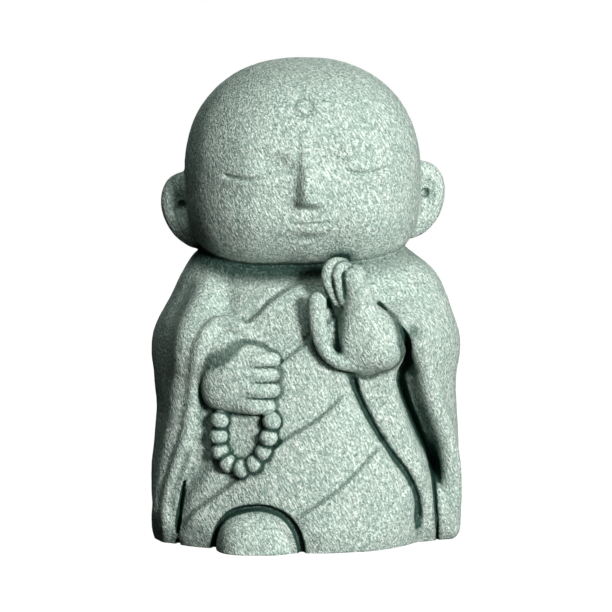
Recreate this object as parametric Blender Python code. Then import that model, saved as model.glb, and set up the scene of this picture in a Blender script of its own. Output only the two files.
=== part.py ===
"""A small monk figurine, cast in one piece of green sandstone.

It has a large round shaven head with big ears, closed eyes and a ringed dot on the forehead. One hand
holds a loop of beads on the belly, the other is raised to the chin out of a wide hanging sleeve, and
slanting pleats cross the front of the robe, with one foot under the hem.

Metres, +Z up. The origin is at the middle of the underside, and the figure looks along -Y, so its
right hand, with the beads, is at -X. The figure is a free form: its pose, its proportions and its
carving are shares of its own height, and every place below is (x, y, z) in such shares.

The form is carved in a block of grains: distance functions say how far any point is from the surface
of the named forms together, a skin is drawn through the grains where that distance is nought, and its
points are then evened out and moved onto the surface. A Decimate modifier thins the skin's facets.
"""

import math

import bmesh
import bpy
import numpy as np

# Sizes in metres
HEIGHT = 0.080
CARVING_GRAIN = 0.00055
FACETS = 9400

# Width of the finest incised lines, as a share of the height
LINE = 0.0060

# Depth below the underside that is carved too, then cut away, as a share of the height
FOOTING = 0.03

# The block of grains, from its lowest to its highest corner, as shares of the height
BLOCK_LOW = (-0.36, -0.34, -0.05)
BLOCK_HIGH = (0.36, 0.27, 1.03)

# The trunk and the mantle round it, from below the underside to the neck, in rows of height,
# reach to -X, reach to +X, reach forward on the -X side and on the +X side, and reach back
TRUNK = (
    (-0.040, 0.215, 0.215, 0.208, 0.208, 0.150),
    (0.000, 0.247, 0.245, 0.230, 0.230, 0.170),
    (0.020, 0.256, 0.252, 0.236, 0.236, 0.175),
    (0.090, 0.262, 0.262, 0.240, 0.240, 0.180),
    (0.200, 0.258, 0.254, 0.235, 0.235, 0.180),
    (0.300, 0.250, 0.238, 0.227, 0.227, 0.180),
    (0.400, 0.240, 0.225, 0.216, 0.216, 0.170),
    (0.500, 0.228, 0.218, 0.200, 0.200, 0.160),
    (0.540, 0.220, 0.210, 0.170, 0.172, 0.154),
    (0.570, 0.210, 0.200, 0.130, 0.140, 0.148),
    (0.600, 0.190, 0.185, 0.100, 0.118, 0.130),
    (0.650, 0.130, 0.130, 0.080, 0.090, 0.100),
)
MANTLE = (
    (-0.040, 0.262, 0.270, 0.165, 0.098, 0.200),
    (0.000, 0.302, 0.305, 0.193, 0.122, 0.219),
    (0.018, 0.314, 0.318, 0.200, 0.131, 0.224),
    (0.045, 0.321, 0.321, 0.205, 0.145, 0.227),
    (0.090, 0.325, 0.321, 0.208, 0.165, 0.229),
    (0.150, 0.325, 0.319, 0.210, 0.186, 0.229),
    (0.213, 0.319, 0.316, 0.211, 0.196, 0.226),
    (0.280, 0.314, 0.312, 0.212, 0.205, 0.221),
    (0.340, 0.319, 0.311, 0.212, 0.208, 0.217),
    (0.380, 0.321, 0.313, 0.211, 0.210, 0.214),
    (0.415, 0.314, 0.312, 0.206, 0.206, 0.210),
    (0.454, 0.300, 0.306, 0.193, 0.196, 0.203),
    (0.506, 0.282, 0.291, 0.170, 0.176, 0.190),
    (0.555, 0.259, 0.266, 0.145, 0.150, 0.172),
    (0.600, 0.226, 0.212, 0.118, 0.120, 0.146),
    (0.650, 0.150, 0.150, 0.085, 0.085, 0.105),
)
TRUNK_SQUARENESS = 2.15
MANTLE_SQUARENESS = 2.9
WAIST_BLEND = 0.016

# Arms inside their sleeves, as (x, y, z, radius)
RIGHT_FOREARM = (
    (-0.255, -0.040, 0.425, 0.055),
    (-0.225, -0.120, 0.425, 0.056),
    (-0.172, -0.180, 0.405, 0.052),
)
LEFT_FOREARM = (
    (0.248, -0.050, 0.415, 0.054),
    (0.222, -0.130, 0.430, 0.052),
    (0.165, -0.190, 0.440, 0.050),
)
SLEEVE_BLEND = 0.045

# The mouth of the left sleeve, as drawn from the front, from over the wrist down to the underside,
# as (x, z, radius), and the hem beside it, as (x, z)
LEFT_SLEEVE_MOUTH = (
    (0.148, 0.502, 0.0045),
    (0.167, 0.485, 0.0055),
    (0.186, 0.461, 0.0065),
    (0.200, 0.437, 0.0070),
    (0.207, 0.410, 0.0075),
    (0.205, 0.383, 0.0090),
    (0.189, 0.356, 0.0120),
    (0.195, 0.326, 0.0100),
    (0.207, 0.289, 0.0085),
    (0.221, 0.254, 0.0080),
    (0.236, 0.217, 0.0070),
    (0.250, 0.181, 0.0060),
    (0.258, 0.144, 0.0050),
    (0.262, 0.108, 0.0042),
    (0.266, 0.071, 0.0035),
    (0.269, 0.036, 0.0030),
    (0.271, -0.010, 0.0030),
)
LEFT_HEM = (
    (0.219, 0.440),
    (0.236, 0.390),
    (0.249, 0.340),
    (0.263, 0.290),
    (0.282, 0.235),
    (0.295, 0.180),
    (0.300, 0.130),
    (0.300, 0.080),
    (0.298, 0.020),
)

# The slope from the hem down to the mouth: its lowest line, as (x, z), and its depth and its runs
LEFT_SLEEVE_SLOPE = (
    (0.206, 0.460),
    (0.206, 0.400),
    (0.191, 0.352),
    (0.197, 0.315),
    (0.212, 0.273),
    (0.230, 0.225),
    (0.250, 0.180),
    (0.260, 0.140),
    (0.263, 0.110),
    (0.266, 0.060),
)
LEFT_SLEEVE_VALLEY = (0.055, 0.010, 0.032)

# The right sleeve's hem, the swell behind it, as (x, z, radius), its lining and its mouth
RIGHT_HEM = (
    (-0.137, 0.458),
    (-0.168, 0.468),
    (-0.194, 0.458),
    (-0.212, 0.428),
    (-0.222, 0.390),
    (-0.227, 0.352),
    (-0.232, 0.308),
    (-0.238, 0.265),
    (-0.248, 0.221),
    (-0.263, 0.177),
    (-0.276, 0.134),
    (-0.285, 0.088),
    (-0.288, 0.044),
    (-0.288, -0.010),
)
RIGHT_SWELL = (
    (-0.200, 0.520, 0.029),
    (-0.218, 0.475, 0.034),
    (-0.232, 0.430, 0.036),
    (-0.238, 0.390, 0.036),
    (-0.242, 0.350, 0.035),
    (-0.247, 0.305, 0.034),
    (-0.254, 0.260, 0.032),
    (-0.266, 0.210, 0.030),
    (-0.279, 0.160, 0.028),
    (-0.288, 0.110, 0.027),
    (-0.291, 0.060, 0.027),
    (-0.291, -0.010, 0.027),
)
RIGHT_LINING = (
    (-0.221, 0.240),
    (-0.236, 0.198),
    (-0.2505, 0.155),
    (-0.263, 0.114),
    (-0.270, 0.075),
    (-0.273, -0.010),
)
RIGHT_SLEEVE_MOUTH = (
    (-0.252, 0.140, 0.0020),
    (-0.257, 0.118, 0.0035),
    (-0.260, 0.093, 0.0045),
    (-0.263, 0.060, 0.0050),
    (-0.265, -0.010, 0.0055),
)

# The slope from the hem down to the hand and the skirt
RIGHT_SLEEVE_SLOPE = (
    (-0.208, 0.380),
    (-0.207, 0.331),
    (-0.206, 0.286),
    (-0.206, 0.235),
    (-0.209, 0.190),
    (-0.219, 0.160),
    (-0.235, 0.137),
    (-0.251, 0.112),
    (-0.259, 0.080),
    (-0.263, 0.020),
)
RIGHT_SLEEVE_VALLEY = (0.010, 0.012, 0.014)

# Cloth folds of the front, from low -X to high +X: points (x, z), rise, edge width and run.
# The cloth stands higher on the right hand of each.
CHEST_FOLD = (
    (-0.145, 0.448),
    (-0.132, 0.460),
    (-0.099, 0.487),
    (-0.079, 0.507),
    (-0.059, 0.523),
    (-0.038, 0.535),
    (0.000, 0.552),
)
WRIST_FOLD = ((-0.090, 0.362), (-0.053, 0.389), (-0.010, 0.421), (0.022, 0.450), (0.070, 0.495))
BELLY_FOLD = (
    (-0.262, 0.030),
    (-0.241, 0.067),
    (-0.211, 0.094),
    (-0.168, 0.128),
    (-0.126, 0.162),
    (-0.099, 0.184),
    (-0.065, 0.219),
    (-0.014, 0.253),
    (0.032, 0.283),
    (0.092, 0.335),
)
KNEE_FOLD = ((-0.030, 0.068), (0.016, 0.098), (0.071, 0.137), (0.131, 0.197), (0.162, 0.234))
HEM_FOLD = ((0.095, 0.000), (0.156, 0.059), (0.199, 0.108), (0.222, 0.140))
FRONT_FOLDS = (
    (CHEST_FOLD, 0.0110, 0.0050, 0.060),
    (WRIST_FOLD, 0.0080, 0.0045, 0.050),
    (BELLY_FOLD, 0.0110, 0.0050, 0.055),
    (KNEE_FOLD, 0.0095, 0.0055, 0.055),
    (HEM_FOLD, 0.0065, 0.0060, 0.045),
)

# Lines of the front: points (x, z). Each groove has its depth and its width.
ROBE_EDGE = (
    (0.089, 0.368),
    (0.103, 0.320),
    (0.123, 0.277),
    (0.149, 0.231),
    (0.174, 0.193),
    (0.202, 0.154),
    (0.220, 0.117),
    (0.227, 0.085),
    (0.229, 0.040),
)
ROBE_EDGE_GROOVE = (0.0200, 0.0080)
SHOULDER_CREASE = ((0.136, 0.504), (0.158, 0.508), (0.185, 0.511), (0.210, 0.516), (0.234, 0.522))
SHOULDER_CREASE_GROOVE = (0.0070, 0.0055)
CHEST_HOLLOW = ((-0.160, 0.468), (-0.165, 0.494), (-0.169, 0.533), (-0.174, 0.578))
CHEST_HOLLOW_GROOVE = (0.0120, 0.0240)

# Folds of the back, drawn from the front like those above
EDGE_OF_MANTLE = ((-0.300, 0.250), (-0.180, 0.330), (-0.040, 0.430), (0.110, 0.540), (0.160, 0.590))
BACK_FOLDS = (
    (EDGE_OF_MANTLE, 0.0080, 0.0060, 0.060),
    (
        ((-0.290, 0.050), (-0.190, 0.120), (-0.060, 0.230), (0.080, 0.350), (0.180, 0.450)),
        0.0060,
        0.0080,
        0.060,
    ),
    (((-0.120, 0.000), (-0.020, 0.090), (0.110, 0.220), (0.220, 0.340)), 0.0055, 0.0080, 0.060),
    (((0.070, 0.000), (0.150, 0.080), (0.240, 0.190)), 0.0050, 0.0080, 0.055),
)
FOLD_REACH = 0.13

# Foot under the hem, and the arch of the groove round it, as (x, z, radius)
FOOT_CENTRE = (-0.101, -0.150, -0.012)
FOOT_RADII = (0.086, 0.104, 0.102)
FOOT_SQUARENESS = 2.9
FOOT_ARCH = (
    (-0.190, -0.020, 0.0065),
    (-0.187, 0.020, 0.0065),
    (-0.176, 0.052, 0.0065),
    (-0.150, 0.080, 0.0062),
    (-0.113, 0.092, 0.0060),
    (-0.080, 0.092, 0.0060),
    (-0.048, 0.079, 0.0062),
    (-0.025, 0.053, 0.0068),
    (-0.013, 0.018, 0.0070),
    (-0.009, -0.020, 0.0070),
)

# The hand with the beads
RIGHT_HAND_BACK = (-0.140, -0.172, 0.359)
RIGHT_HAND_RADII = (0.077, 0.058, 0.073)
RIGHT_KNUCKLES = (-0.130, -0.180, 0.358)
RIGHT_KNUCKLE_RADII = (0.062, 0.057, 0.066)
RIGHT_WRIST = ((-0.205, -0.150, 0.405, 0.040), (-0.165, -0.180, 0.395, 0.044))
KNUCKLE_X = -0.138
KNUCKLE_Y = -0.221
FINGERTIP_X = -0.049
FINGER_Z = (0.396, 0.366, 0.3345, 0.302)
FINGER_TIP_SHIFT = (-0.004, 0.0, -0.002, -0.012)
FINGER_RADII = (0.0155, 0.0165, 0.0175, 0.0180)

# The beads, drawn from the front
BEAD_RADIUS = 0.0192
BEADS = (
    (-0.178, 0.270),
    (-0.180, 0.237),
    (-0.177, 0.206),
    (-0.161, 0.182),
    (-0.133, 0.172),
    (-0.106, 0.182),
    (-0.087, 0.207),
    (-0.078, 0.238),
    (-0.072, 0.271),
)

# The raised hand, as (x, y, z, radius)
PALM = (
    (0.126, -0.203, 0.4460, 0.0550),
    (0.117, -0.213, 0.4660, 0.0480),
    (0.107, -0.219, 0.4870, 0.0360),
    (0.105, -0.220, 0.5060, 0.0310),
    (0.103, -0.216, 0.5350, 0.0260),
    (0.098, -0.204, 0.5700, 0.0180),
)
THUMB = (
    (0.0205, -0.240, 0.516, 0.0195),
    (0.0200, -0.242, 0.486, 0.0188),
    (0.0245, -0.242, 0.450, 0.0172),
    (0.0330, -0.241, 0.426, 0.0165),
    (0.0450, -0.238, 0.407, 0.0155),
    (0.0620, -0.234, 0.3940, 0.0150),
    (0.0860, -0.228, 0.3905, 0.0180),
    (0.1080, -0.219, 0.3950, 0.0235),
    (0.1300, -0.206, 0.4020, 0.0300),
)
HAND_HEEL = (0.1315, -0.196, 0.4300)
HAND_HEEL_RADII = (0.0635, 0.0640, 0.0600)
PALM_EDGE = (
    (0.086, -0.230, 0.398, 0.0150),
    (0.087, -0.237, 0.430, 0.0180),
    (0.091, -0.236, 0.465, 0.0170),
    (0.094, -0.234, 0.500, 0.0150),
    (0.094, -0.230, 0.530, 0.0130),
)
FINGER_WEB = (0.069, -0.221, 0.552)
FINGER_WEB_RADII = (0.034, 0.022, 0.048)
FOREFINGER = (
    (0.0590, -0.228, 0.513, 0.0085),
    (0.0480, -0.238, 0.538, 0.0112),
    (0.0400, -0.243, 0.564, 0.0124),
    (0.0440, -0.240, 0.583, 0.0124),
    (0.0575, -0.232, 0.593, 0.0118),
    (0.0740, -0.220, 0.590, 0.0115),
)
MIDDLE_FINGER = (
    (0.0705, -0.236, 0.514, 0.0060),
    (0.0650, -0.248, 0.534, 0.0075),
    (0.0615, -0.254, 0.556, 0.0085),
    (0.0605, -0.252, 0.572, 0.0092),
    (0.0680, -0.244, 0.5845, 0.0098),
    (0.0810, -0.232, 0.585, 0.0100),
)
LAST_FINGERS = (
    (0.1060, -0.226, 0.500, 0.0320),
    (0.1005, -0.236, 0.540, 0.0265),
    (0.0918, -0.236, 0.562, 0.0226),
)
HAND_BACKING = (
    (0.110, -0.175, 0.400, 0.050),
    (0.095, -0.182, 0.470, 0.042),
    (0.080, -0.182, 0.530, 0.036),
    (0.074, -0.168, 0.563, 0.028),
)

# Head: its widest level, its reach from there, and how it is turned
HEAD_CENTRE = (-0.0095, -0.012, 0.763)
HEAD_HALF_WIDTH = 0.2436
HEAD_RISE = 0.237
HEAD_DROP = 0.208
HEAD_FORWARD = 0.212
HEAD_BACK = 0.214
CROWN_SQUARENESS = 2.25
JAW_SQUARENESS = 3.3
HEAD_ROLL = math.radians(1.0)
FACE_ROLL = math.radians(2.6)
HEAD_YAW = math.radians(3.0)
NECK_CREASE = 0.005

# Face, in the head's own frame. The features stand where the drawing rule for a child's face has them:
# the eyes half way down the head and each half way out from the middle, a fifth of the head wide, the
# nose's base a third of the way from the eyes to the chin, and the mouth half way.
EYE_Z = (HEAD_RISE - HEAD_DROP) / 2
EYE_X = HEAD_HALF_WIDTH / 2
EYE_WIDTH = 2 * HEAD_HALF_WIDTH / 5
CHIN_Z = -HEAD_DROP
NOSE_BASE_Z = EYE_Z + (CHIN_Z - EYE_Z) / 3
MOUTH_Z = EYE_Z + (CHIN_Z - EYE_Z) / 2
MOUTH_WIDTH = 2 * HEAD_HALF_WIDTH / 6
URNA_Z = 0.603 * HEAD_RISE
URNA_RADIUS = 0.0177

# Ears, in the head's own frame, mirrored
EAR_CENTRE = (HEAD_HALF_WIDTH - 0.0196, 0.014, -0.071)
EAR_RADII = (0.070, 0.034, 0.082)
EAR_SQUARENESS = 2.1
EAR_LEAN = 0.20
EAR_DISH_CENTRE = (EAR_CENTRE[0] + 0.034, EAR_CENTRE[1] - 0.038, EAR_CENTRE[2] + 0.013)
EAR_DISH_RADII = (0.024, 0.022, 0.040)
EAR_HOLE = (EAR_CENTRE[0] + 0.028, EAR_CENTRE[1] - 0.014, EAR_CENTRE[2] + 0.015)
EAR_HOLE_RADIUS = 0.008


def smoothstep(low, high, value):
    share = np.clip((value - low) / (high - low), 0.0, 1.0)
    return share * share * (3.0 - 2.0 * share)


def unite(a, b, blend):
    """The union of two distances, with a fillet of about this size."""
    share = np.clip(0.5 + 0.5 * (b - a) / blend, 0.0, 1.0)
    return b + (a - b) * share - blend * share * (1.0 - share)


def cut(a, b, blend):
    """The distance a with b taken out of it."""
    return -unite(-a, b, blend)


def ellipsoid(p, centre, radii, power=2.0):
    q = np.abs((p - np.array(centre)) / np.array(radii))
    size = (q**power).sum(axis=1) ** (1.0 / power)
    reach = np.linalg.norm(p - np.array(centre), axis=1)
    return reach - reach / np.maximum(size, 1e-6)


def spline(points, steps=5):
    """A smooth line through the points."""
    knots = np.asarray(points, float)
    knots = np.vstack([2 * knots[0] - knots[1], knots, 2 * knots[-1] - knots[-2]])
    t = np.linspace(0.0, 1.0, steps, endpoint=False)[:, None]
    spans = [
        0.5 * (2 * b + (c - a) * t + (2 * a - 5 * b + 4 * c - d) * t**2 + (3 * b - a - 3 * c + d) * t**3)
        for a, b, c, d in zip(knots, knots[1:], knots[2:], knots[3:])
    ]
    return np.vstack([*spans, knots[-2:-1]])


def locally(form, p, low, high, reach):
    """form(p) near the box, and reach everywhere else."""
    near = ((p > np.array(low) - reach) & (p < np.array(high) + reach)).all(axis=1)
    found = np.full(len(p), reach)
    if near.any():
        found[near] = np.minimum(form(p[near]), reach)
    return found


def limb(p, path, reach=0.06):
    """A round limb through the path's points (x, y, z, radius)."""
    path = spline(path, 4)
    ends, radii = path[:, :3], path[:, 3]

    def form(q):
        found = np.full(len(q), 9.0)
        for a, b, ra, rb in zip(ends, ends[1:], radii, radii[1:]):
            along = b - a
            t = np.clip((q - a) @ along / (along @ along), 0.0, 1.0)
            off = np.linalg.norm(q - a - t[:, None] * along, axis=1)
            found = np.minimum(found, off - ra - t * (rb - ra))
        return found

    widest = radii.max()
    return locally(form, p, ends.min(axis=0) - widest, ends.max(axis=0) + widest, reach)


def channel(p, path, squeeze):
    """A limb deeper from front to back than it is wide, to cut a channel with."""
    squeeze = np.array([1.0, squeeze, 1.0, 1.0])
    return limb(p * squeeze[:3], path * squeeze)


def lump(p, centre, radii, power=2.0, reach=0.06):
    """An ellipsoid that is worked out only near its box."""
    low, high = np.subtract(centre, radii), np.add(centre, radii)
    return locally(lambda q: ellipsoid(q, centre, radii, power), p, low, high, reach)


def stations(z, table):
    """Smooth values at the heights z from rows (height, value, ...)."""
    table = np.asarray(table)
    heights = table[:, 0]
    slopes = np.gradient(table[:, 1:], heights, axis=0)
    z = np.clip(z, heights[0], heights[-1])
    i = np.clip(np.searchsorted(heights, z) - 1, 0, len(heights) - 2)
    span = (heights[i + 1] - heights[i])[:, None]
    t = (z - heights[i])[:, None] / span
    a, b = table[i, 1:], table[i + 1, 1:]
    return (
        a * (1 + 2 * t) * (1 - t) ** 2
        + slopes[i] * span * t * (1 - t) ** 2
        + b * t * t * (3 - 2 * t)
        + slopes[i + 1] * span * t * t * (t - 1)
    )


def loft(p, table, squareness):
    """A closed form through the table's rows of reaches."""
    left, right, front_left, front_right, back = stations(p[:, 2], table).T
    side = smoothstep(-0.06, 0.06, p[:, 0])
    across = np.where(p[:, 0] < 0, left, right)
    depth = np.where(p[:, 1] < 0, front_left + (front_right - front_left) * side, back)
    n = squareness
    size = ((np.abs(p[:, 0]) / across) ** n + (np.abs(p[:, 1]) / depth) ** n) ** (1 / n)
    reach = np.hypot(p[:, 0], p[:, 1]) + 1e-6
    around = reach - reach / np.maximum(size, 1e-6)
    return np.maximum(around, np.maximum(table[0][0] - p[:, 2], p[:, 2] - table[-1][0]))


def bare_robe(p):
    """Trunk, mantle and arms, before any fold."""
    robe = unite(loft(p, TRUNK, TRUNK_SQUARENESS), loft(p, MANTLE, MANTLE_SQUARENESS), WAIST_BLEND)
    for arm in (RIGHT_FOREARM, LEFT_FOREARM):
        robe = unite(robe, limb(p, arm, 0.10), SLEEVE_BLEND)
    return robe


def seat(form, places, sink=0.0):
    """Points of the form's front at the places (x, z), sunk back by this much."""
    x, z = np.asarray(places, float)[:, :2].T
    inner = np.zeros(len(x))
    for y in np.linspace(0.0, -0.40, 81):
        inner = np.where(form(np.column_stack([x, np.full(len(x), y), z])) < 0, y, inner)
    outer = inner - 0.005
    for _ in range(12):
        y = (inner + outer) / 2
        inside = form(np.column_stack([x, y, z])) < 0
        inner = np.where(inside, y, inner)
        outer = np.where(inside, outer, y)
    return np.column_stack([x, inner + sink, z])


def on_front(form, places, sink, radius=None):
    """A limb's path over the form's front, with one radius or with that of each place."""
    places = np.asarray(places, float)
    radii = places[:, 2] if radius is None else np.full(len(places), radius)
    return np.column_stack([seat(form, places, sink), radii])


def along(p, path, profile, reach, back=False, fade=0.12):
    """The relief of a line drawn from the front: profile takes the distance to its right hand."""
    path = spline(path, 4)
    x, z = p[:, 0], p[:, 2]
    facing = p[:, 1] > -0.02 if back else p[:, 1] < 0.02
    low, high = path.min(axis=0) - reach, path.max(axis=0) + reach
    near = facing & (x > low[0]) & (x < high[0]) & (z > low[1]) & (z < high[1])
    relief = np.zeros(len(p))
    if not near.any():
        return relief
    q = np.column_stack([x[near], z[near]])
    nearest = np.full(len(q), 9.0)
    side = np.zeros(len(q))
    way = np.zeros(len(q))
    lengths = np.linalg.norm(np.diff(path, axis=0), axis=1)
    starts = np.concatenate([[0.0], np.cumsum(lengths)])
    for a, b, start, length in zip(path, path[1:], starts, lengths):
        d = (b - a) / length
        t = np.clip((q - a) @ d, 0.0, length)
        off = q - a - t[:, None] * d
        distance = np.hypot(off[:, 0], off[:, 1])
        closer = distance < nearest
        nearest = np.where(closer, distance, nearest)
        right = (q - a) @ np.array([d[1], -d[0]]) > 0
        side = np.where(closer, np.where(right, distance, -distance), side)
        way = np.where(closer, (start + t) / starts[-1], way)
    ends = smoothstep(0.0, fade, way) * smoothstep(1.0, 1.0 - fade, way)
    wrap = smoothstep(-0.02, 0.03, p[near, 1]) if back else smoothstep(0.02, -0.03, p[near, 1])
    relief[near] = profile(side) * ends * wrap * smoothstep(reach, 0.7 * reach, np.abs(side))
    return relief


def fold(rise, width, run):
    """A fold's edge: the cloth steps up on the right hand and sinks back over the run."""

    def profile(side):
        high = smoothstep(-width, width, side) * np.exp(-np.maximum(side, 0.0) / run)
        return rise * high - 0.5 * rise * np.exp(-(((side + width) / (1.6 * width)) ** 2))

    return profile


def groove(depth, width):
    return valley(depth, width, width)


def valley(depth, right_run, left_run):
    """A valley with its own run on each hand."""
    return lambda side: -depth * np.exp(-((side / np.where(side > 0, right_run, left_run)) ** 2))


def cloth(p):
    """How far the cloth's folds stand out of the bare robe."""
    relief = np.zeros(len(p))
    for path, *shape in FRONT_FOLDS:
        relief += along(p, path, fold(*shape), FOLD_REACH)
    for path, *shape in BACK_FOLDS:
        relief += along(p, path, fold(*shape), FOLD_REACH, back=True)
    for path, shape, fade in (
        (ROBE_EDGE, ROBE_EDGE_GROOVE, 0.06),
        (SHOULDER_CREASE, SHOULDER_CREASE_GROOVE, 0.3),
        (CHEST_HOLLOW, CHEST_HOLLOW_GROOVE, 0.3),
    ):
        relief += along(p, path, groove(*shape), 0.012 + 2.0 * shape[1], fade=fade)
    for path, shape in (
        (LEFT_SLEEVE_SLOPE, LEFT_SLEEVE_VALLEY),
        (RIGHT_SLEEVE_SLOPE, RIGHT_SLEEVE_VALLEY),
    ):
        relief += along(p, path, valley(*shape), 0.012 + 2.0 * shape[2], fade=0.25)
    return relief


def robe(p):
    return bare_robe(p) - cloth(p)


RIGHT_SWELL_LIMB = on_front(bare_robe, RIGHT_SWELL, 0.022)
RIGHT_HEM_LIMB = on_front(bare_robe, RIGHT_HEM, -0.004, 0.0155)
LEFT_HEM_LIMB = on_front(bare_robe, LEFT_HEM, 0.013, 0.0200)
LINING_LIMB = on_front(bare_robe, RIGHT_LINING, 0.002, 0.0080)
RIGHT_MOUTH_LIMB = on_front(robe, RIGHT_SLEEVE_MOUTH, 0.002)
LEFT_MOUTH_LIMB = on_front(robe, LEFT_SLEEVE_MOUTH, 0.004)
FOOT_ARCH_LIMB = on_front(robe, FOOT_ARCH, 0.003)


def hems(p, f):
    """The robe with the hems of its sleeves laid on."""
    f = unite(f, limb(p, RIGHT_SWELL_LIMB), 0.030)
    f = unite(f, limb(p, LEFT_HEM_LIMB), 0.020)
    f = unite(f, limb(p, RIGHT_HEM_LIMB), 0.010)
    return unite(f, limb(p, LINING_LIMB), 0.004)


def sleeves(p, f):
    """The robe with its hems and the mouths of its sleeves."""
    f = hems(p, f)
    f = cut(f, channel(p, LEFT_MOUTH_LIMB, 0.42), 0.006)
    return cut(f, channel(p, RIGHT_MOUTH_LIMB, 0.55), 0.008)


def foot(p, f):
    f = cut(f, channel(p, FOOT_ARCH_LIMB, 0.5), 0.006)
    return unite(f, lump(p, FOOT_CENTRE, FOOT_RADII, FOOT_SQUARENESS), 0.003)


def fingers():
    for z, radius, shift in zip(FINGER_Z, FINGER_RADII, FINGER_TIP_SHIFT):
        x = FINGERTIP_X + shift - radius
        yield (
            (KNUCKLE_X, KNUCKLE_Y + 0.008, z + 0.002, radius),
            ((KNUCKLE_X + x) / 2, KNUCKLE_Y - 0.006, z, radius),
            (x, KNUCKLE_Y + 0.004, z - 0.001, radius),
        )


BEAD_PLACES = seat(robe, BEADS, -0.007)


def beads(p):
    return np.min([lump(p, place, [BEAD_RADIUS] * 3) for place in BEAD_PLACES], axis=0)


def right_hand(p):
    hand = lump(p, RIGHT_HAND_BACK, RIGHT_HAND_RADII, 3.6)
    hand = unite(hand, lump(p, RIGHT_KNUCKLES, RIGHT_KNUCKLE_RADII, 2.6), 0.025)
    hand = unite(hand, limb(p, RIGHT_WRIST), 0.015)
    for finger in fingers():
        hand = unite(hand, limb(p, finger), 0.007)
    return hand


def left_hand(p):
    hand = unite(limb(p, PALM), lump(p, HAND_HEEL, HAND_HEEL_RADII, 2.6), 0.016)
    hand = unite(hand, lump(p, FINGER_WEB, FINGER_WEB_RADII), 0.010)
    hand = unite(hand, limb(p, HAND_BACKING), 0.020)
    hand = unite(hand, limb(p, PALM_EDGE), 0.014)
    hand = unite(hand, limb(p, THUMB), 0.009)
    hand = unite(hand, limb(p, LAST_FINGERS), 0.008)
    hand = unite(hand, limb(p, MIDDLE_FINGER), 0.008)
    return unite(hand, limb(p, FOREFINGER), 0.007)


def dressed(p):
    f = sleeves(p, robe(p))
    f = foot(p, f)
    f = unite(f, beads(p), 0.003)
    f = unite(f, right_hand(p), 0.006)
    return unite(f, left_hand(p), 0.008)


def to_head(p, roll):
    """Points in the head's own frame: turned by its yaw and by this roll, from its centre."""
    x, y, z = (p - np.array(HEAD_CENTRE)).T
    x, y = (
        x * math.cos(HEAD_YAW) + y * math.sin(HEAD_YAW),
        -x * math.sin(HEAD_YAW) + y * math.cos(HEAD_YAW),
    )
    return np.column_stack(
        [
            x * math.cos(roll) + z * math.sin(roll),
            y,
            -x * math.sin(roll) + z * math.cos(roll),
        ]
    )


def skull(q):
    """The bare head, in its own frame: round above and wide at the jaw."""
    x, y, z = np.abs(q).T
    n = JAW_SQUARENESS + (CROWN_SQUARENESS - JAW_SQUARENESS) * smoothstep(-0.12, 0.08, q[:, 2])
    z = z / np.where(q[:, 2] > 0, HEAD_RISE, HEAD_DROP)
    y = y / np.where(q[:, 1] < 0, HEAD_FORWARD, HEAD_BACK)
    round_face = ((x / HEAD_HALF_WIDTH) ** n + z**n) ** (1 / n)
    size = (round_face**2.3 + y**2.3) ** (1 / 2.3)
    reach = np.linalg.norm(q, axis=1)
    return reach - reach / np.maximum(size, 1e-6)


def ears(q):
    q = np.column_stack([np.abs(q[:, 0]), q[:, 1:]])
    leaning = q - np.outer(q[:, 2] - EAR_CENTRE[2], (EAR_LEAN, 0.0, 0.0))
    ear = ellipsoid(leaning, EAR_CENTRE, EAR_RADII, EAR_SQUARENESS)
    ear = cut(ear, ellipsoid(q, EAR_DISH_CENTRE, EAR_DISH_RADII), 0.012)
    hole = np.linalg.norm(q - np.array(EAR_HOLE), axis=1) - EAR_HOLE_RADIUS
    return cut(ear, hole, 0.006)


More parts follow.
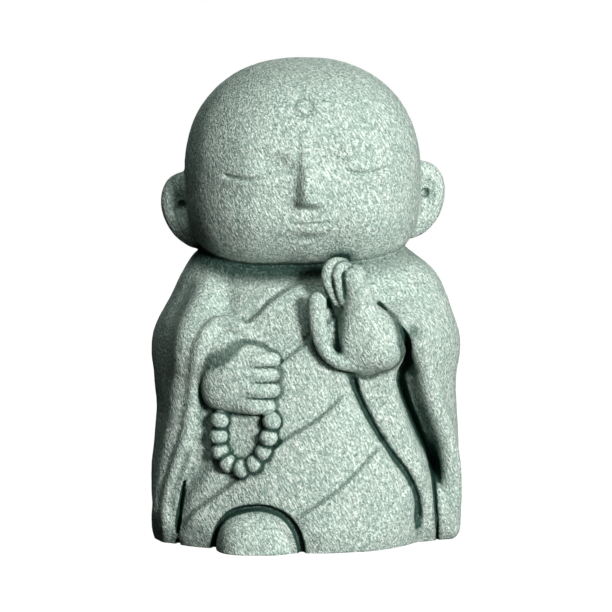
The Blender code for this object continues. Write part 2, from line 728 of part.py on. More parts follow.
def face(q):
    """How far the features stand out of the bare head, from their places as drawn from the front."""
    x, y, z = q.T
    side = np.abs(x)
    front = smoothstep(0.0, -0.08, y)
    relief = np.zeros(len(q))

    def mound(cx, cz, rx, rz, rise):
        return rise * np.exp(-(((side - cx) / rx) ** 2) - ((z - cz) / rz) ** 2)

    brow = EYE_Z + 0.050 - 3.5 * (side - 0.10) ** 2
    within = smoothstep(0.19, 0.12, side) * smoothstep(0.0, 0.03, side)
    relief += 0.006 * within * np.exp(-(((z - brow) / 0.020) ** 2))
    relief -= mound(0.060, EYE_Z + 0.012, 0.030, 0.026, 0.010)
    relief += mound(EYE_X, EYE_Z - 0.004, 0.058, 0.028, 0.008)
    lash = EYE_Z - 0.012 + 0.010 * ((side - EYE_X) / (EYE_WIDTH / 2)) ** 2
    within = smoothstep(1.15, 0.75, np.abs(side - EYE_X) / (EYE_WIDTH / 2))
    relief -= 0.0085 * within * np.exp(-(((z - lash) / LINE) ** 2))
    relief += mound(0.112, -0.098, 0.062, 0.060, 0.010)
    relief += mound(0.0, MOUTH_Z - 0.062, 0.036, 0.026, 0.009)

    down = smoothstep(EYE_Z + 0.055, NOSE_BASE_Z + 0.012, z)
    across = side / (0.011 + 0.009 * down)
    nose = (0.007 + 0.019 * down) * np.exp(-0.5 * across**4 - 0.35 * across**2)
    nose *= smoothstep(NOSE_BASE_Z - 0.005, NOSE_BASE_Z + 0.012, z)
    relief += nose * smoothstep(EYE_Z + 0.085, EYE_Z + 0.03, z)
    relief += mound(0.0, NOSE_BASE_Z + 0.015, 0.016, 0.015, 0.008)
    relief += mound(0.0220, NOSE_BASE_Z + 0.010, 0.010, 0.010, 0.008)

    relief += mound(0.0, MOUTH_Z, 0.046, 0.026, 0.010)
    bow = MOUTH_Z + 0.002 + 0.0035 * (side / (MOUTH_WIDTH / 2)) ** 2
    within = smoothstep(1.12, 0.85, side / (MOUTH_WIDTH / 2))
    relief -= 0.0065 * within * np.exp(-(((z - bow) / (0.8 * LINE)) ** 2))
    relief += mound(0.013, MOUTH_Z + 0.0105, 0.016, 0.0065, 0.0042)
    relief += mound(0.0, MOUTH_Z - 0.0105, 0.023, 0.0080, 0.0068)
    relief -= mound(0.0, MOUTH_Z - 0.0260, 0.024, 0.0065, 0.0045)
    relief -= mound(0.0, (NOSE_BASE_Z + MOUTH_Z) / 2 + 0.006, 0.0045, 0.011, 0.0028)
    ring = np.hypot(x, z - URNA_Z)
    relief -= 0.0045 * np.exp(-(((ring - URNA_RADIUS) / (0.8 * LINE)) ** 2))
    return relief * front


def head(p):
    q = to_head(p, FACE_ROLL)
    return unite(skull(to_head(p, HEAD_ROLL)) - face(q), ears(q), 0.008)


def figure(p):
    near_head = p[:, 2] > 0.50
    near_robe = p[:, 2] < 0.70
    f = np.full(len(p), 9.0)
    f[near_robe] = dressed(p[near_robe])
    crown = np.full(len(p), 9.0)
    crown[near_head] = head(p[near_head])
    return np.maximum(unite(f, crown, NECK_CREASE), -FOOTING - p[:, 2])


def new_object(name, mesh):
    thing = bpy.data.objects.new(name, mesh)
    bpy.context.scene.collection.objects.link(thing)
    return thing


def sampled(form, low, counts, step):
    """form's values on a grid. Only the blocks near the surface are worked out point by point."""
    block = 4
    blocks = [math.ceil(n / block) for n in counts]
    axes = [low[i] + step * (np.arange(blocks[i]) * block + (block - 1) / 2) for i in range(3)]
    centres = np.stack(np.meshgrid(*axes, indexing="ij"), axis=-1).reshape(-1, 3)
    coarse = form(centres).reshape(blocks)
    values = coarse.repeat(block, 0).repeat(block, 1).repeat(block, 2)
    near = np.argwhere(np.abs(coarse) < 2.2 * block * step) * block
    corner = np.stack(np.meshgrid(*[np.arange(block)] * 3, indexing="ij"), axis=-1).reshape(-1, 3)
    for group in np.array_split(near, max(1, len(near) // 2000)):
        spots = (group[:, None] + corner).reshape(-1, 3)
        values[tuple(spots.T)] = form(np.array(low) + step * spots)
    return values[: counts[0], : counts[1], : counts[2]]


def untangle(values):
    """Joins the solid across each grid face where it only touches itself corner to corner."""
    for _ in range(12):
        found = 0
        for u, v in ((0, 1), (1, 2), (2, 0)):
            corner = []
            for du, dv in ((0, 0), (0, 1), (1, 0), (1, 1)):
                index = [slice(None)] * 3
                index[u] = slice(du, values.shape[u] - 1 + du)
                index[v] = slice(dv, values.shape[v] - 1 + dv)
                corner.append(values[tuple(index)] < 0)
            a, b, c, d = corner
            for one, shift in ((a & d & ~b & ~c, (0, 1)), (b & c & ~a & ~d, (0, 0))):
                spots = np.argwhere(one)
                first = spots.copy()
                first[:, u] += shift[0]
                first[:, v] += shift[1]
                second = spots.copy()
                second[:, u] += 1 - shift[0]
                second[:, v] += 1 - shift[1]
                lower = values[tuple(first.T)] < values[tuple(second.T)]
                nearer = np.where(lower[:, None], first, second)
                values[tuple(nearer.T)] = -1e-5
                found += len(spots)
        if not found:
            break


def skin(form, low, high, step):
    """A closed mesh of form's surface, with one point in each cell of the grid that it crosses."""
    counts = [math.ceil((b - a) / step) + 1 for a, b in zip(low, high)]
    values = sampled(form, low, counts, step)
    untangle(values)
    inside = values < 0
    total = np.zeros([n - 1 for n in counts] + [3])
    crossings = np.zeros([n - 1 for n in counts])
    for axis in range(3):
        u, v = (axis + 1) % 3, (axis + 2) % 3
        for du in (0, 1):
            for dv in (0, 1):
                ends = [[slice(0, -1)] * 3, [slice(0, -1)] * 3]
                ends[1][axis] = slice(1, None)
                for end in ends:
                    end[u] = slice(du, counts[u] - 1 + du)
                    end[v] = slice(dv, counts[v] - 1 + dv)
                a, b = values[tuple(ends[0])], values[tuple(ends[1])]
                crossed = (a < 0) != (b < 0)
                share = np.where(crossed, a / np.where(crossed, a - b, 1.0), 0.0)
                total[..., axis] += share
                total[..., u] += du * crossed
                total[..., v] += dv * crossed
                crossings += crossed
    cells = np.argwhere(crossings > 0)
    number = np.full(crossings.shape, -1)
    number[tuple(cells.T)] = np.arange(len(cells))
    places = total[tuple(cells.T)] / crossings[tuple(cells.T)][:, None]
    points = np.array(low) + step * (cells + places)
    faces = []
    for axis in range(3):
        u, v = (axis + 1) % 3, (axis + 2) % 3
        first = [slice(1, -1)] * 3
        first[axis] = slice(0, -1)
        second = list(first)
        second[axis] = slice(1, None)
        a, b = inside[tuple(first)], inside[tuple(second)]
        edge = np.argwhere(a != b)
        outward = a[tuple(edge.T)]
        for k in (u, v):
            edge[:, k] += 1
        around = []
        for du, dv in ((-1, -1), (0, -1), (0, 0), (-1, 0)):
            cell = edge.copy()
            cell[:, u] += du
            cell[:, v] += dv
            around.append(number[tuple(cell.T)])
        quad = np.stack(around, axis=1)
        faces.append(np.where(outward[:, None], quad, quad[:, ::-1]))
    mesh = bpy.data.meshes.new("skin")
    faces = np.concatenate(faces)
    mesh.from_pydata(points.tolist(), [], faces.tolist())
    return mesh


def carve(mesh, form, passes, step):
    """Evens out the mesh's points and moves each onto form's surface, pass by pass."""
    p = np.empty(len(mesh.vertices) * 3)
    mesh.vertices.foreach_get("co", p)
    p = p.reshape(-1, 3)
    edges = np.empty(len(mesh.edges) * 2, int)
    mesh.edges.foreach_get("vertices", edges)
    edges = edges.reshape(-1, 2)
    ends = np.concatenate([edges, edges[:, ::-1]])
    count = np.bincount(ends[:, 0], minlength=len(p))[:, None]
    h = 0.0005
    for _ in range(passes):
        around = [np.bincount(ends[:, 0], p[ends[:, 1], axis], len(p)) for axis in range(3)]
        p = p + 0.5 * (np.stack(around, axis=1) / count - p)
        for _ in range(2):
            value = form(p)
            slope = np.column_stack([form(p + offset) - value for offset in np.eye(3) * h]) / h
            length = np.maximum(np.linalg.norm(slope, axis=1), 0.3)
            move = np.clip(value / length, -step, step)
            p = p - slope / length[:, None] * move[:, None]
    mesh.vertices.foreach_set("co", p.ravel())
    mesh.update()


def thin_out(thing, facets):
    """Leaves about this many triangles."""
    thinner = thing.modifiers.new("Thinner", "DECIMATE")
    thinner.ratio = facets / (2 * len(thing.data.polygons))
    thinner.use_collapse_triangulate = True
    graph = bpy.context.evaluated_depsgraph_get()
    mesh = bpy.data.meshes.new_from_object(thing.evaluated_get(graph))
    thing.modifiers.clear()
    thing.data = mesh


def make(grain=CARVING_GRAIN, form=figure):
    """The carved figure, 1 high, on a footing that is still to be cut away."""
    step = grain / HEIGHT
    mesh = skin(form, BLOCK_LOW, BLOCK_HIGH, step)
    carve(mesh, form, 2, step)
    return new_object("monk_figurine", mesh)


def cut_flat(mesh):
    """Gives the mesh its size and its flat underside."""
    bm = bmesh.new()
    bm.from_mesh(mesh)
    bmesh.ops.scale(bm, vec=(HEIGHT, HEIGHT, HEIGHT), verts=bm.verts)
    cut_geometry = bmesh.ops.bisect_plane(
        bm,
        geom=[*bm.verts, *bm.edges, *bm.faces],
        dist=1e-6,
        plane_co=(0, 0, 0),
        plane_no=(0, 0, 1),
        clear_inner=True,
    )["geom_cut"]
    rim = [item for item in cut_geometry if isinstance(item, bmesh.types.BMEdge)]
    bmesh.ops.contextual_create(bm, geom=rim)
    bmesh.ops.triangulate(bm, faces=bm.faces)
    bmesh.ops.recalc_face_normals(bm, faces=bm.faces)
    bm.to_mesh(mesh)
    bm.free()


def stone():
    """Plain green-grey sandstone for the solid."""
    material = bpy.data.materials.new("green_sandstone")
    material.use_nodes = True
    surface = material.node_tree.nodes["Principled BSDF"]
    surface.inputs["Base Color"].default_value = (0.36, 0.44, 0.39, 1.0)
    surface.inputs["Roughness"].default_value = 0.85
    return material


def main():
    for old in list(bpy.data.objects):
        bpy.data.objects.remove(old)
    thing = make()
    thin_out(thing, FACETS)
    cut_flat(thing.data)
    thing.data.name = "monk_figurine"
    thing.data.materials.append(stone())
    collection = bpy.data.collections.new("monk figurine")
    bpy.context.scene.collection.children.link(collection)
    bpy.context.scene.collection.objects.unlink(thing)
    collection.objects.link(thing)


if __name__ == "__main__":
    main()
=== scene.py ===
"""The looks of the monk figurine: the carving at a finer grain, its stone, and the studio.

The piece has the same forms as the solid of the CAD source, in shares of its height, with finer
lines, tighter seams and a weathered skin. It replaces that solid and stands in its place.
"""

import math
from concurrent.futures import ThreadPoolExecutor

import bmesh
import bpy
import numpy as np
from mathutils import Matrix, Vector, noise


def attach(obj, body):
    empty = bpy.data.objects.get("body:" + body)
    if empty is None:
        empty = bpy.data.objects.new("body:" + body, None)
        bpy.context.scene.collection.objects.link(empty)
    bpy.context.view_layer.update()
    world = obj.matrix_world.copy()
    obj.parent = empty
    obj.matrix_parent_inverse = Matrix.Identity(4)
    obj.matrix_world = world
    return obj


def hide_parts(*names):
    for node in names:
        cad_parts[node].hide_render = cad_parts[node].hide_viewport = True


# Sizes in metres, as in the CAD source
HEIGHT = 0.080
CARVING_GRAIN = 0.00030
FACETS = 190000

# Width of the finest incised lines, as a share of the height
LINE = 0.0042

# Depth below the underside that is carved too, then cut away, as a share of the height
FOOTING = 0.03

# The box that is carved in, in shares of the height
BLOCK_LOW = (-0.36, -0.34, -0.05)
BLOCK_HIGH = (0.36, 0.27, 1.03)

# The weathered skin's broad swells, and its grains: how far they stand out or in and the size of
# their features, in metres, and where their noise is read
WEATHER = ((0.00009, 0.0042, 7.3), (0.00004, 0.0009, 2.1))

# How far above the underside the weathered skin is at its full strength, as a share of the height
UNDERSIDE_FADE = 0.01

# How many times the carving's points are evened out, and how many points are worked out at a time
EVENED = 2
AT_A_TIME = 25000
WORKERS = 4

# How far over a point the figure is looked for, in shares of the height
CREVICE_REACH = 0.012
HOLLOW_REACH = 0.050

# Colours of the stone, with painted shade and highlight among them
PALE_PATCH = (0.375, 0.462, 0.415, 1)
PALER_PATCH = (0.440, 0.515, 0.462, 1)
# Painted shade with the wash: the darker green of the hollows
WASH_AND_SHADE_IN_HOLLOWS = (0.215, 0.335, 0.285, 1)
# Grain strokes painted darker and lighter as grain lit from one side shades: painted shade and
# highlight
GRAIN_STROKE_SHADE = (0.150, 0.225, 0.190, 1)
GRAIN_STROKE_HIGHLIGHT = (0.76, 0.82, 0.77, 1)
DARK_GRAIN = (0.095, 0.155, 0.128, 1)
BRIGHT_FLECK = (0.86, 0.89, 0.86, 1)
DARK_FLECK = (0.060, 0.100, 0.082, 1)
# Painted shade with the wash: this dark green also fills creases, seams and the band under the chin
GREEN_WASH_AND_SHADE = (0.0075, 0.036, 0.026, 1)

# The strokes in the skin, painted as grain lit from one side: their lean, and the scale that draws
# their noise out along it
STROKE_LEAN = math.radians(26.0)
STROKE_STRETCH = (1.0, 1.0, 0.32)

# The greatest cover of the wash and painted shade, the stone's sheen, and the depth of its fine
# relief in metres
WASH_AND_SHADE_COVER = 0.95
SHEEN = 0.10
RELIEF = 0.00022

# The photo's view: its elevation, its distance and target in heights, and in pixels its side, the
# figure's height and the shift
PHOTO_ELEVATION = math.radians(6.0)
PHOTO_DISTANCE = 6.5
PHOTO_TARGET = 0.49
PHOTO_SIDE = 612
FIGURE_SIDE = 478.77
PHOTO_SHIFT = (-1.0, -4.155)

# The studio, in metres
FLOOR_RADIUS = 2.0
FLOOR_THICKNESS = 0.002
FLOOR_GAP = 0.00001
SWEEP_RADIUS = 2.05
LIGHT_DISTANCE = 0.50
WORLD_COLOUR = (0.80, 1.0, 0.92, 1)
WORLD_STRENGTH = 0.02

# The lights: azimuth and elevation in degrees, width in metres, power in watts, and colour
LIGHTS = (
    ("key", 31, 14, 0.12, 3.50, (1.0, 0.990, 0.985)),
    ("top", -10, 60, 0.16, 0.70, (0.88, 1.0, 0.95)),
    ("back", 180, 30, 0.20, 1.30, (0.95, 1.0, 0.98)),
    ("low", 45, -20, 0.16, 0.45, (0.92, 1.0, 0.97)),
)

# The trunk and the mantle round it, from below the underside to the neck, in rows of height,
# reach to -X, reach to +X, reach forward on the -X side and on the +X side, and reach back
TRUNK = (
    (-0.040, 0.215, 0.215, 0.208, 0.208, 0.150),
    (0.000, 0.247, 0.245, 0.230, 0.230, 0.170),
    (0.020, 0.256, 0.252, 0.236, 0.236, 0.175),
    (0.090, 0.262, 0.262, 0.240, 0.240, 0.180),
    (0.200, 0.258, 0.254, 0.235, 0.235, 0.180),
    (0.300, 0.250, 0.238, 0.227, 0.227, 0.180),
    (0.400, 0.240, 0.225, 0.216, 0.216, 0.170),
    (0.500, 0.228, 0.218, 0.200, 0.200, 0.160),
    (0.540, 0.220, 0.210, 0.170, 0.172, 0.154),
    (0.570, 0.210, 0.200, 0.130, 0.140, 0.148),
    (0.600, 0.190, 0.185, 0.100, 0.118, 0.130),
    (0.650, 0.130, 0.130, 0.080, 0.090, 0.100),
)
MANTLE = (
    (-0.040, 0.262, 0.270, 0.165, 0.098, 0.200),
    (0.000, 0.302, 0.305, 0.193, 0.122, 0.219),
    (0.018, 0.314, 0.318, 0.200, 0.131, 0.224),
    (0.045, 0.321, 0.321, 0.205, 0.145, 0.227),
    (0.090, 0.325, 0.321, 0.208, 0.165, 0.229),
    (0.150, 0.325, 0.319, 0.210, 0.186, 0.229),
    (0.213, 0.319, 0.316, 0.211, 0.196, 0.226),
    (0.280, 0.314, 0.312, 0.212, 0.205, 0.221),
    (0.340, 0.319, 0.311, 0.212, 0.208, 0.217),
    (0.380, 0.321, 0.313, 0.211, 0.210, 0.214),
    (0.415, 0.314, 0.312, 0.206, 0.206, 0.210),
    (0.454, 0.300, 0.306, 0.193, 0.196, 0.203),
    (0.506, 0.282, 0.291, 0.170, 0.176, 0.190),
    (0.555, 0.259, 0.266, 0.145, 0.150, 0.172),
    (0.600, 0.226, 0.212, 0.118, 0.120, 0.146),
    (0.650, 0.150, 0.150, 0.085, 0.085, 0.105),
)
TRUNK_SQUARENESS = 2.15
MANTLE_SQUARENESS = 2.9
WAIST_BLEND = 0.016

# Arms inside their sleeves, as (x, y, z, radius)
RIGHT_FOREARM = (
    (-0.255, -0.040, 0.425, 0.055),
    (-0.225, -0.120, 0.425, 0.056),
    (-0.172, -0.180, 0.405, 0.052),
)
LEFT_FOREARM = (
    (0.248, -0.050, 0.415, 0.054),
    (0.222, -0.130, 0.430, 0.052),
    (0.165, -0.190, 0.440, 0.050),
)
SLEEVE_BLEND = 0.045

# The mouth of the left sleeve, as drawn from the front, from over the wrist down to the underside,
# as (x, z, radius), and the hem beside it, as (x, z)
LEFT_SLEEVE_MOUTH = (
    (0.148, 0.502, 0.0045),
    (0.167, 0.485, 0.0055),
    (0.186, 0.461, 0.0065),
    (0.200, 0.437, 0.0070),
    (0.207, 0.410, 0.0075),
    (0.205, 0.383, 0.0090),
    (0.189, 0.356, 0.0120),
    (0.195, 0.326, 0.0100),
    (0.207, 0.289, 0.0085),
    (0.221, 0.254, 0.0080),
    (0.236, 0.217, 0.0070),
    (0.250, 0.181, 0.0060),
    (0.258, 0.144, 0.0050),
    (0.262, 0.108, 0.0042),
    (0.266, 0.071, 0.0035),
    (0.269, 0.036, 0.0030),
    (0.271, -0.010, 0.0030),
)
LEFT_HEM = (
    (0.219, 0.440),
    (0.236, 0.390),
    (0.249, 0.340),
    (0.263, 0.290),
    (0.282, 0.235),
    (0.295, 0.180),
    (0.300, 0.130),
    (0.300, 0.080),
    (0.298, 0.020),
)

# The slope from the hem down to the mouth: its lowest line, as (x, z), and its depth and its runs
LEFT_SLEEVE_SLOPE = (
    (0.206, 0.460),
    (0.206, 0.400),
    (0.191, 0.352),
    (0.197, 0.315),
    (0.212, 0.273),
    (0.230, 0.225),
    (0.250, 0.180),
    (0.260, 0.140),
    (0.263, 0.110),
    (0.266, 0.060),
)
LEFT_SLEEVE_VALLEY = (0.055, 0.010, 0.032)

# The right sleeve's hem, the swell behind it, as (x, z, radius), its lining and its mouth
RIGHT_HEM = (
    (-0.137, 0.458),
    (-0.168, 0.468),
    (-0.194, 0.458),
    (-0.212, 0.428),
    (-0.222, 0.390),
    (-0.227, 0.352),
    (-0.232, 0.308),
    (-0.238, 0.265),
    (-0.248, 0.221),
    (-0.263, 0.177),
    (-0.276, 0.134),
    (-0.285, 0.088),
    (-0.288, 0.044),
    (-0.288, -0.010),
)
RIGHT_SWELL = (
    (-0.200, 0.520, 0.029),
    (-0.218, 0.475, 0.034),
    (-0.232, 0.430, 0.036),
    (-0.238, 0.390, 0.036),
    (-0.242, 0.350, 0.035),
    (-0.247, 0.305, 0.034),
    (-0.254, 0.260, 0.032),
    (-0.266, 0.210, 0.030),
    (-0.279, 0.160, 0.028),
    (-0.288, 0.110, 0.027),
    (-0.291, 0.060, 0.027),
    (-0.291, -0.010, 0.027),
)
RIGHT_LINING = (
    (-0.221, 0.240),
    (-0.236, 0.198),
    (-0.2505, 0.155),
    (-0.263, 0.114),
    (-0.270, 0.075),
    (-0.273, -0.010),
)
RIGHT_SLEEVE_MOUTH = (
    (-0.252, 0.140, 0.0020),
    (-0.257, 0.118, 0.0035),
    (-0.260, 0.093, 0.0045),
    (-0.263, 0.060, 0.0050),
    (-0.265, -0.010, 0.0055),
)

# The slope from the hem down to the hand and the skirt
RIGHT_SLEEVE_SLOPE = (
    (-0.208, 0.380),
    (-0.207, 0.331),
    (-0.206, 0.286),
    (-0.206, 0.235),
    (-0.209, 0.190),
    (-0.219, 0.160),
    (-0.235, 0.137),
    (-0.251, 0.112),
    (-0.259, 0.080),
    (-0.263, 0.020),
)
RIGHT_SLEEVE_VALLEY = (0.010, 0.012, 0.014)

# Cloth folds of the front, from low -X to high +X: points (x, z), rise, edge width and run.
# The cloth stands higher on the right hand of each.
CHEST_FOLD = (
    (-0.145, 0.448),
    (-0.132, 0.460),
    (-0.099, 0.487),
    (-0.079, 0.507),
    (-0.059, 0.523),
    (-0.038, 0.535),
    (0.000, 0.552),
)
WRIST_FOLD = ((-0.090, 0.362), (-0.053, 0.389), (-0.010, 0.421), (0.022, 0.450), (0.070, 0.495))
BELLY_FOLD = (
    (-0.262, 0.030),
    (-0.241, 0.067),
    (-0.211, 0.094),
    (-0.168, 0.128),
    (-0.126, 0.162),
    (-0.099, 0.184),
    (-0.065, 0.219),
    (-0.014, 0.253),
    (0.032, 0.283),
    (0.092, 0.335),
)
KNEE_FOLD = ((-0.030, 0.068), (0.016, 0.098), (0.071, 0.137), (0.131, 0.197), (0.162, 0.234))
HEM_FOLD = ((0.095, 0.000), (0.156, 0.059), (0.199, 0.108), (0.222, 0.140))
FRONT_FOLDS = (
    (CHEST_FOLD, 0.0110, 0.0050, 0.060),
    (WRIST_FOLD, 0.0080, 0.0045, 0.050),
    (BELLY_FOLD, 0.0110, 0.0050, 0.055),
    (KNEE_FOLD, 0.0095, 0.0055, 0.055),
    (HEM_FOLD, 0.0065, 0.0060, 0.045),
)

# Lines of the front: points (x, z). Each groove has its depth and its width.
ROBE_EDGE = (
    (0.089, 0.368),
    (0.103, 0.320),
    (0.123, 0.277),
    (0.149, 0.231),
    (0.174, 0.193),
    (0.202, 0.154),
    (0.220, 0.117),
    (0.227, 0.085),
    (0.229, 0.040),
)
ROBE_EDGE_GROOVE = (0.0200, 0.0080)
SHOULDER_CREASE = ((0.136, 0.504), (0.158, 0.508), (0.185, 0.511), (0.210, 0.516), (0.234, 0.522))
SHOULDER_CREASE_GROOVE = (0.0070, 0.0055)
CHEST_HOLLOW = ((-0.160, 0.468), (-0.165, 0.494), (-0.169, 0.533), (-0.174, 0.578))
CHEST_HOLLOW_GROOVE = (0.0120, 0.0240)

# Folds of the back, drawn from the front like those above
EDGE_OF_MANTLE = ((-0.300, 0.250), (-0.180, 0.330), (-0.040, 0.430), (0.110, 0.540), (0.160, 0.590))
BACK_FOLDS = (
    (EDGE_OF_MANTLE, 0.0080, 0.0060, 0.060),
    (
        ((-0.290, 0.050), (-0.190, 0.120), (-0.060, 0.230), (0.080, 0.350), (0.180, 0.450)),
        0.0060,
        0.0080,
        0.060,
    ),
    (((-0.120, 0.000), (-0.020, 0.090), (0.110, 0.220), (0.220, 0.340)), 0.0055, 0.0080, 0.060),
    (((0.070, 0.000), (0.150, 0.080), (0.240, 0.190)), 0.0050, 0.0080, 0.055),
)
FOLD_REACH = 0.13

# Foot under the hem, and the arch of the groove round it, as (x, z, radius)
FOOT_CENTRE = (-0.101, -0.150, -0.012)
FOOT_RADII = (0.086, 0.104, 0.102)
FOOT_SQUARENESS = 2.9
FOOT_ARCH = (
    (-0.190, -0.020, 0.0065),
    (-0.187, 0.020, 0.0065),
    (-0.176, 0.052, 0.0065),
    (-0.150, 0.080, 0.0062),
    (-0.113, 0.092, 0.0060),
    (-0.080, 0.092, 0.0060),
    (-0.048, 0.079, 0.0062),
    (-0.025, 0.053, 0.0068),
    (-0.013, 0.018, 0.0070),
    (-0.009, -0.020, 0.0070),
)

# The hand with the beads
RIGHT_HAND_BACK = (-0.140, -0.172, 0.359)
RIGHT_HAND_RADII = (0.077, 0.058, 0.073)
RIGHT_KNUCKLES = (-0.130, -0.180, 0.358)
RIGHT_KNUCKLE_RADII = (0.062, 0.057, 0.066)
RIGHT_WRIST = ((-0.205, -0.150, 0.405, 0.040), (-0.165, -0.180, 0.395, 0.044))
KNUCKLE_X = -0.138
KNUCKLE_Y = -0.221
FINGERTIP_X = -0.049
FINGER_Z = (0.396, 0.366, 0.3345, 0.302)
FINGER_TIP_SHIFT = (-0.004, 0.0, -0.002, -0.012)
FINGER_RADII = (0.0155, 0.0165, 0.0175, 0.0180)

# The beads, drawn from the front
BEAD_RADIUS = 0.0192
BEADS = (
    (-0.178, 0.270),
    (-0.180, 0.237),
    (-0.177, 0.206),
    (-0.161, 0.182),
    (-0.133, 0.172),
    (-0.106, 0.182),
    (-0.087, 0.207),
    (-0.078, 0.238),
    (-0.072, 0.271),
)

# The raised hand, as (x, y, z, radius)
PALM = (
    (0.126, -0.203, 0.4460, 0.0550),
    (0.117, -0.213, 0.4660, 0.0480),
    (0.107, -0.219, 0.4870, 0.0360),
    (0.105, -0.220, 0.5060, 0.0310),
    (0.103, -0.216, 0.5350, 0.0260),
    (0.098, -0.204, 0.5700, 0.0180),
)
THUMB = (
    (0.0205, -0.240, 0.516, 0.0195),
    (0.0200, -0.242, 0.486, 0.0188),
    (0.0245, -0.242, 0.450, 0.0172),
    (0.0330, -0.241, 0.426, 0.0165),
    (0.0450, -0.238, 0.407, 0.0155),
    (0.0620, -0.234, 0.3940, 0.0150),
    (0.0860, -0.228, 0.3905, 0.0180),
    (0.1080, -0.219, 0.3950, 0.0235),
    (0.1300, -0.206, 0.4020, 0.0300),
)
HAND_HEEL = (0.1315, -0.196, 0.4300)
HAND_HEEL_RADII = (0.0635, 0.0640, 0.0600)
PALM_EDGE = (
    (0.086, -0.230, 0.398, 0.0150),
    (0.087, -0.237, 0.430, 0.0180),
    (0.091, -0.236, 0.465, 0.0170),
    (0.094, -0.234, 0.500, 0.0150),
    (0.094, -0.230, 0.530, 0.0130),
)
FINGER_WEB = (0.069, -0.221, 0.552)
FINGER_WEB_RADII = (0.034, 0.022, 0.048)
FOREFINGER = (
    (0.0590, -0.228, 0.513, 0.0085),
    (0.0480, -0.238, 0.538, 0.0112),
    (0.0400, -0.243, 0.564, 0.0124),
    (0.0440, -0.240, 0.583, 0.0124),
    (0.0575, -0.232, 0.593, 0.0118),
    (0.0740, -0.220, 0.590, 0.0115),
)
MIDDLE_FINGER = (
    (0.0705, -0.236, 0.514, 0.0060),
    (0.0650, -0.248, 0.534, 0.0075),
    (0.0615, -0.254, 0.556, 0.0085),
    (0.0605, -0.252, 0.572, 0.0092),
    (0.0680, -0.244, 0.5845, 0.0098),
    (0.0810, -0.232, 0.585, 0.0100),
)
LAST_FINGERS = (
    (0.1060, -0.226, 0.500, 0.0320),
    (0.1005, -0.236, 0.540, 0.0265),
    (0.0918, -0.236, 0.562, 0.0226),
)
HAND_BACKING = (
    (0.110, -0.175, 0.400, 0.050),
    (0.095, -0.182, 0.470, 0.042),
    (0.080, -0.182, 0.530, 0.036),
    (0.074, -0.168, 0.563, 0.028),
)

# Head: its widest level, its reach from there, and how it is turned
HEAD_CENTRE = (-0.0095, -0.012, 0.763)
HEAD_HALF_WIDTH = 0.2436
HEAD_RISE = 0.237
HEAD_DROP = 0.208
HEAD_FORWARD = 0.212
HEAD_BACK = 0.214
CROWN_SQUARENESS = 2.25
JAW_SQUARENESS = 3.3
HEAD_ROLL = math.radians(1.0)
FACE_ROLL = math.radians(2.6)
HEAD_YAW = math.radians(3.0)
NECK_CREASE = 0.003

# Face, in the head's own frame. The features stand where the drawing rule for a child's face has
# them: the eyes half way down the head, each half way out from the middle and a fifth of the head
# wide, the nose's base a third of the way from the eyes to the chin, and the mouth half way.
EYE_Z = (HEAD_RISE - HEAD_DROP) / 2
EYE_X = HEAD_HALF_WIDTH / 2
EYE_WIDTH = 2 * HEAD_HALF_WIDTH / 5
CHIN_Z = -HEAD_DROP
NOSE_BASE_Z = EYE_Z + (CHIN_Z - EYE_Z) / 3
MOUTH_Z = EYE_Z + (CHIN_Z - EYE_Z) / 2
MOUTH_WIDTH = 2 * HEAD_HALF_WIDTH / 6
URNA_Z = 0.603 * HEAD_RISE
URNA_RADIUS = 0.0177

# Ears, in the head's own frame, mirrored
EAR_CENTRE = (HEAD_HALF_WIDTH - 0.0196, 0.014, -0.071)
EAR_RADII = (0.070, 0.034, 0.082)
EAR_SQUARENESS = 2.1
EAR_LEAN = 0.20
EAR_DISH_CENTRE = (EAR_CENTRE[0] + 0.034, EAR_CENTRE[1] - 0.038, EAR_CENTRE[2] + 0.013)
EAR_DISH_RADII = (0.024, 0.022, 0.040)
EAR_HOLE = (EAR_CENTRE[0] + 0.028, EAR_CENTRE[1] - 0.014, EAR_CENTRE[2] + 0.015)
EAR_HOLE_RADIUS = 0.008


def smoothstep(low, high, value):
    share = np.clip((value - low) / (high - low), 0.0, 1.0)
    return share * share * (3.0 - 2.0 * share)


def unite(a, b, blend):
    """The union of two distances, with a fillet of about this size."""
    share = np.clip(0.5 + 0.5 * (b - a) / blend, 0.0, 1.0)
    return b + (a - b) * share - blend * share * (1.0 - share)


def cut(a, b, blend):
    """The distance a with b taken out of it."""
    return -unite(-a, b, blend)


def ellipsoid(p, centre, radii, power=2.0):
    q = np.abs((p - np.array(centre)) / np.array(radii))
    size = (q**power).sum(axis=1) ** (1.0 / power)
    reach = np.linalg.norm(p - np.array(centre), axis=1)
    return reach - reach / np.maximum(size, 1e-6)


def spline(points, steps=5):
    """A smooth line through the points."""
    knots = np.asarray(points, float)
    knots = np.vstack([2 * knots[0] - knots[1], knots, 2 * knots[-1] - knots[-2]])
    t = np.linspace(0.0, 1.0, steps, endpoint=False)[:, None]
    spans = [
        0.5 * (2 * b + (c - a) * t + (2 * a - 5 * b + 4 * c - d) * t**2
               + (3 * b - a - 3 * c + d) * t**3)
        for a, b, c, d in zip(knots, knots[1:], knots[2:], knots[3:])
    ]
    return np.vstack([*spans, knots[-2:-1]])


def locally(form, p, low, high, reach):
    """form(p) near the box, and reach everywhere else."""
    near = ((p > np.array(low) - reach) & (p < np.array(high) + reach)).all(axis=1)
    found = np.full(len(p), reach)
    if near.any():
        found[near] = np.minimum(form(p[near]), reach)
    return found


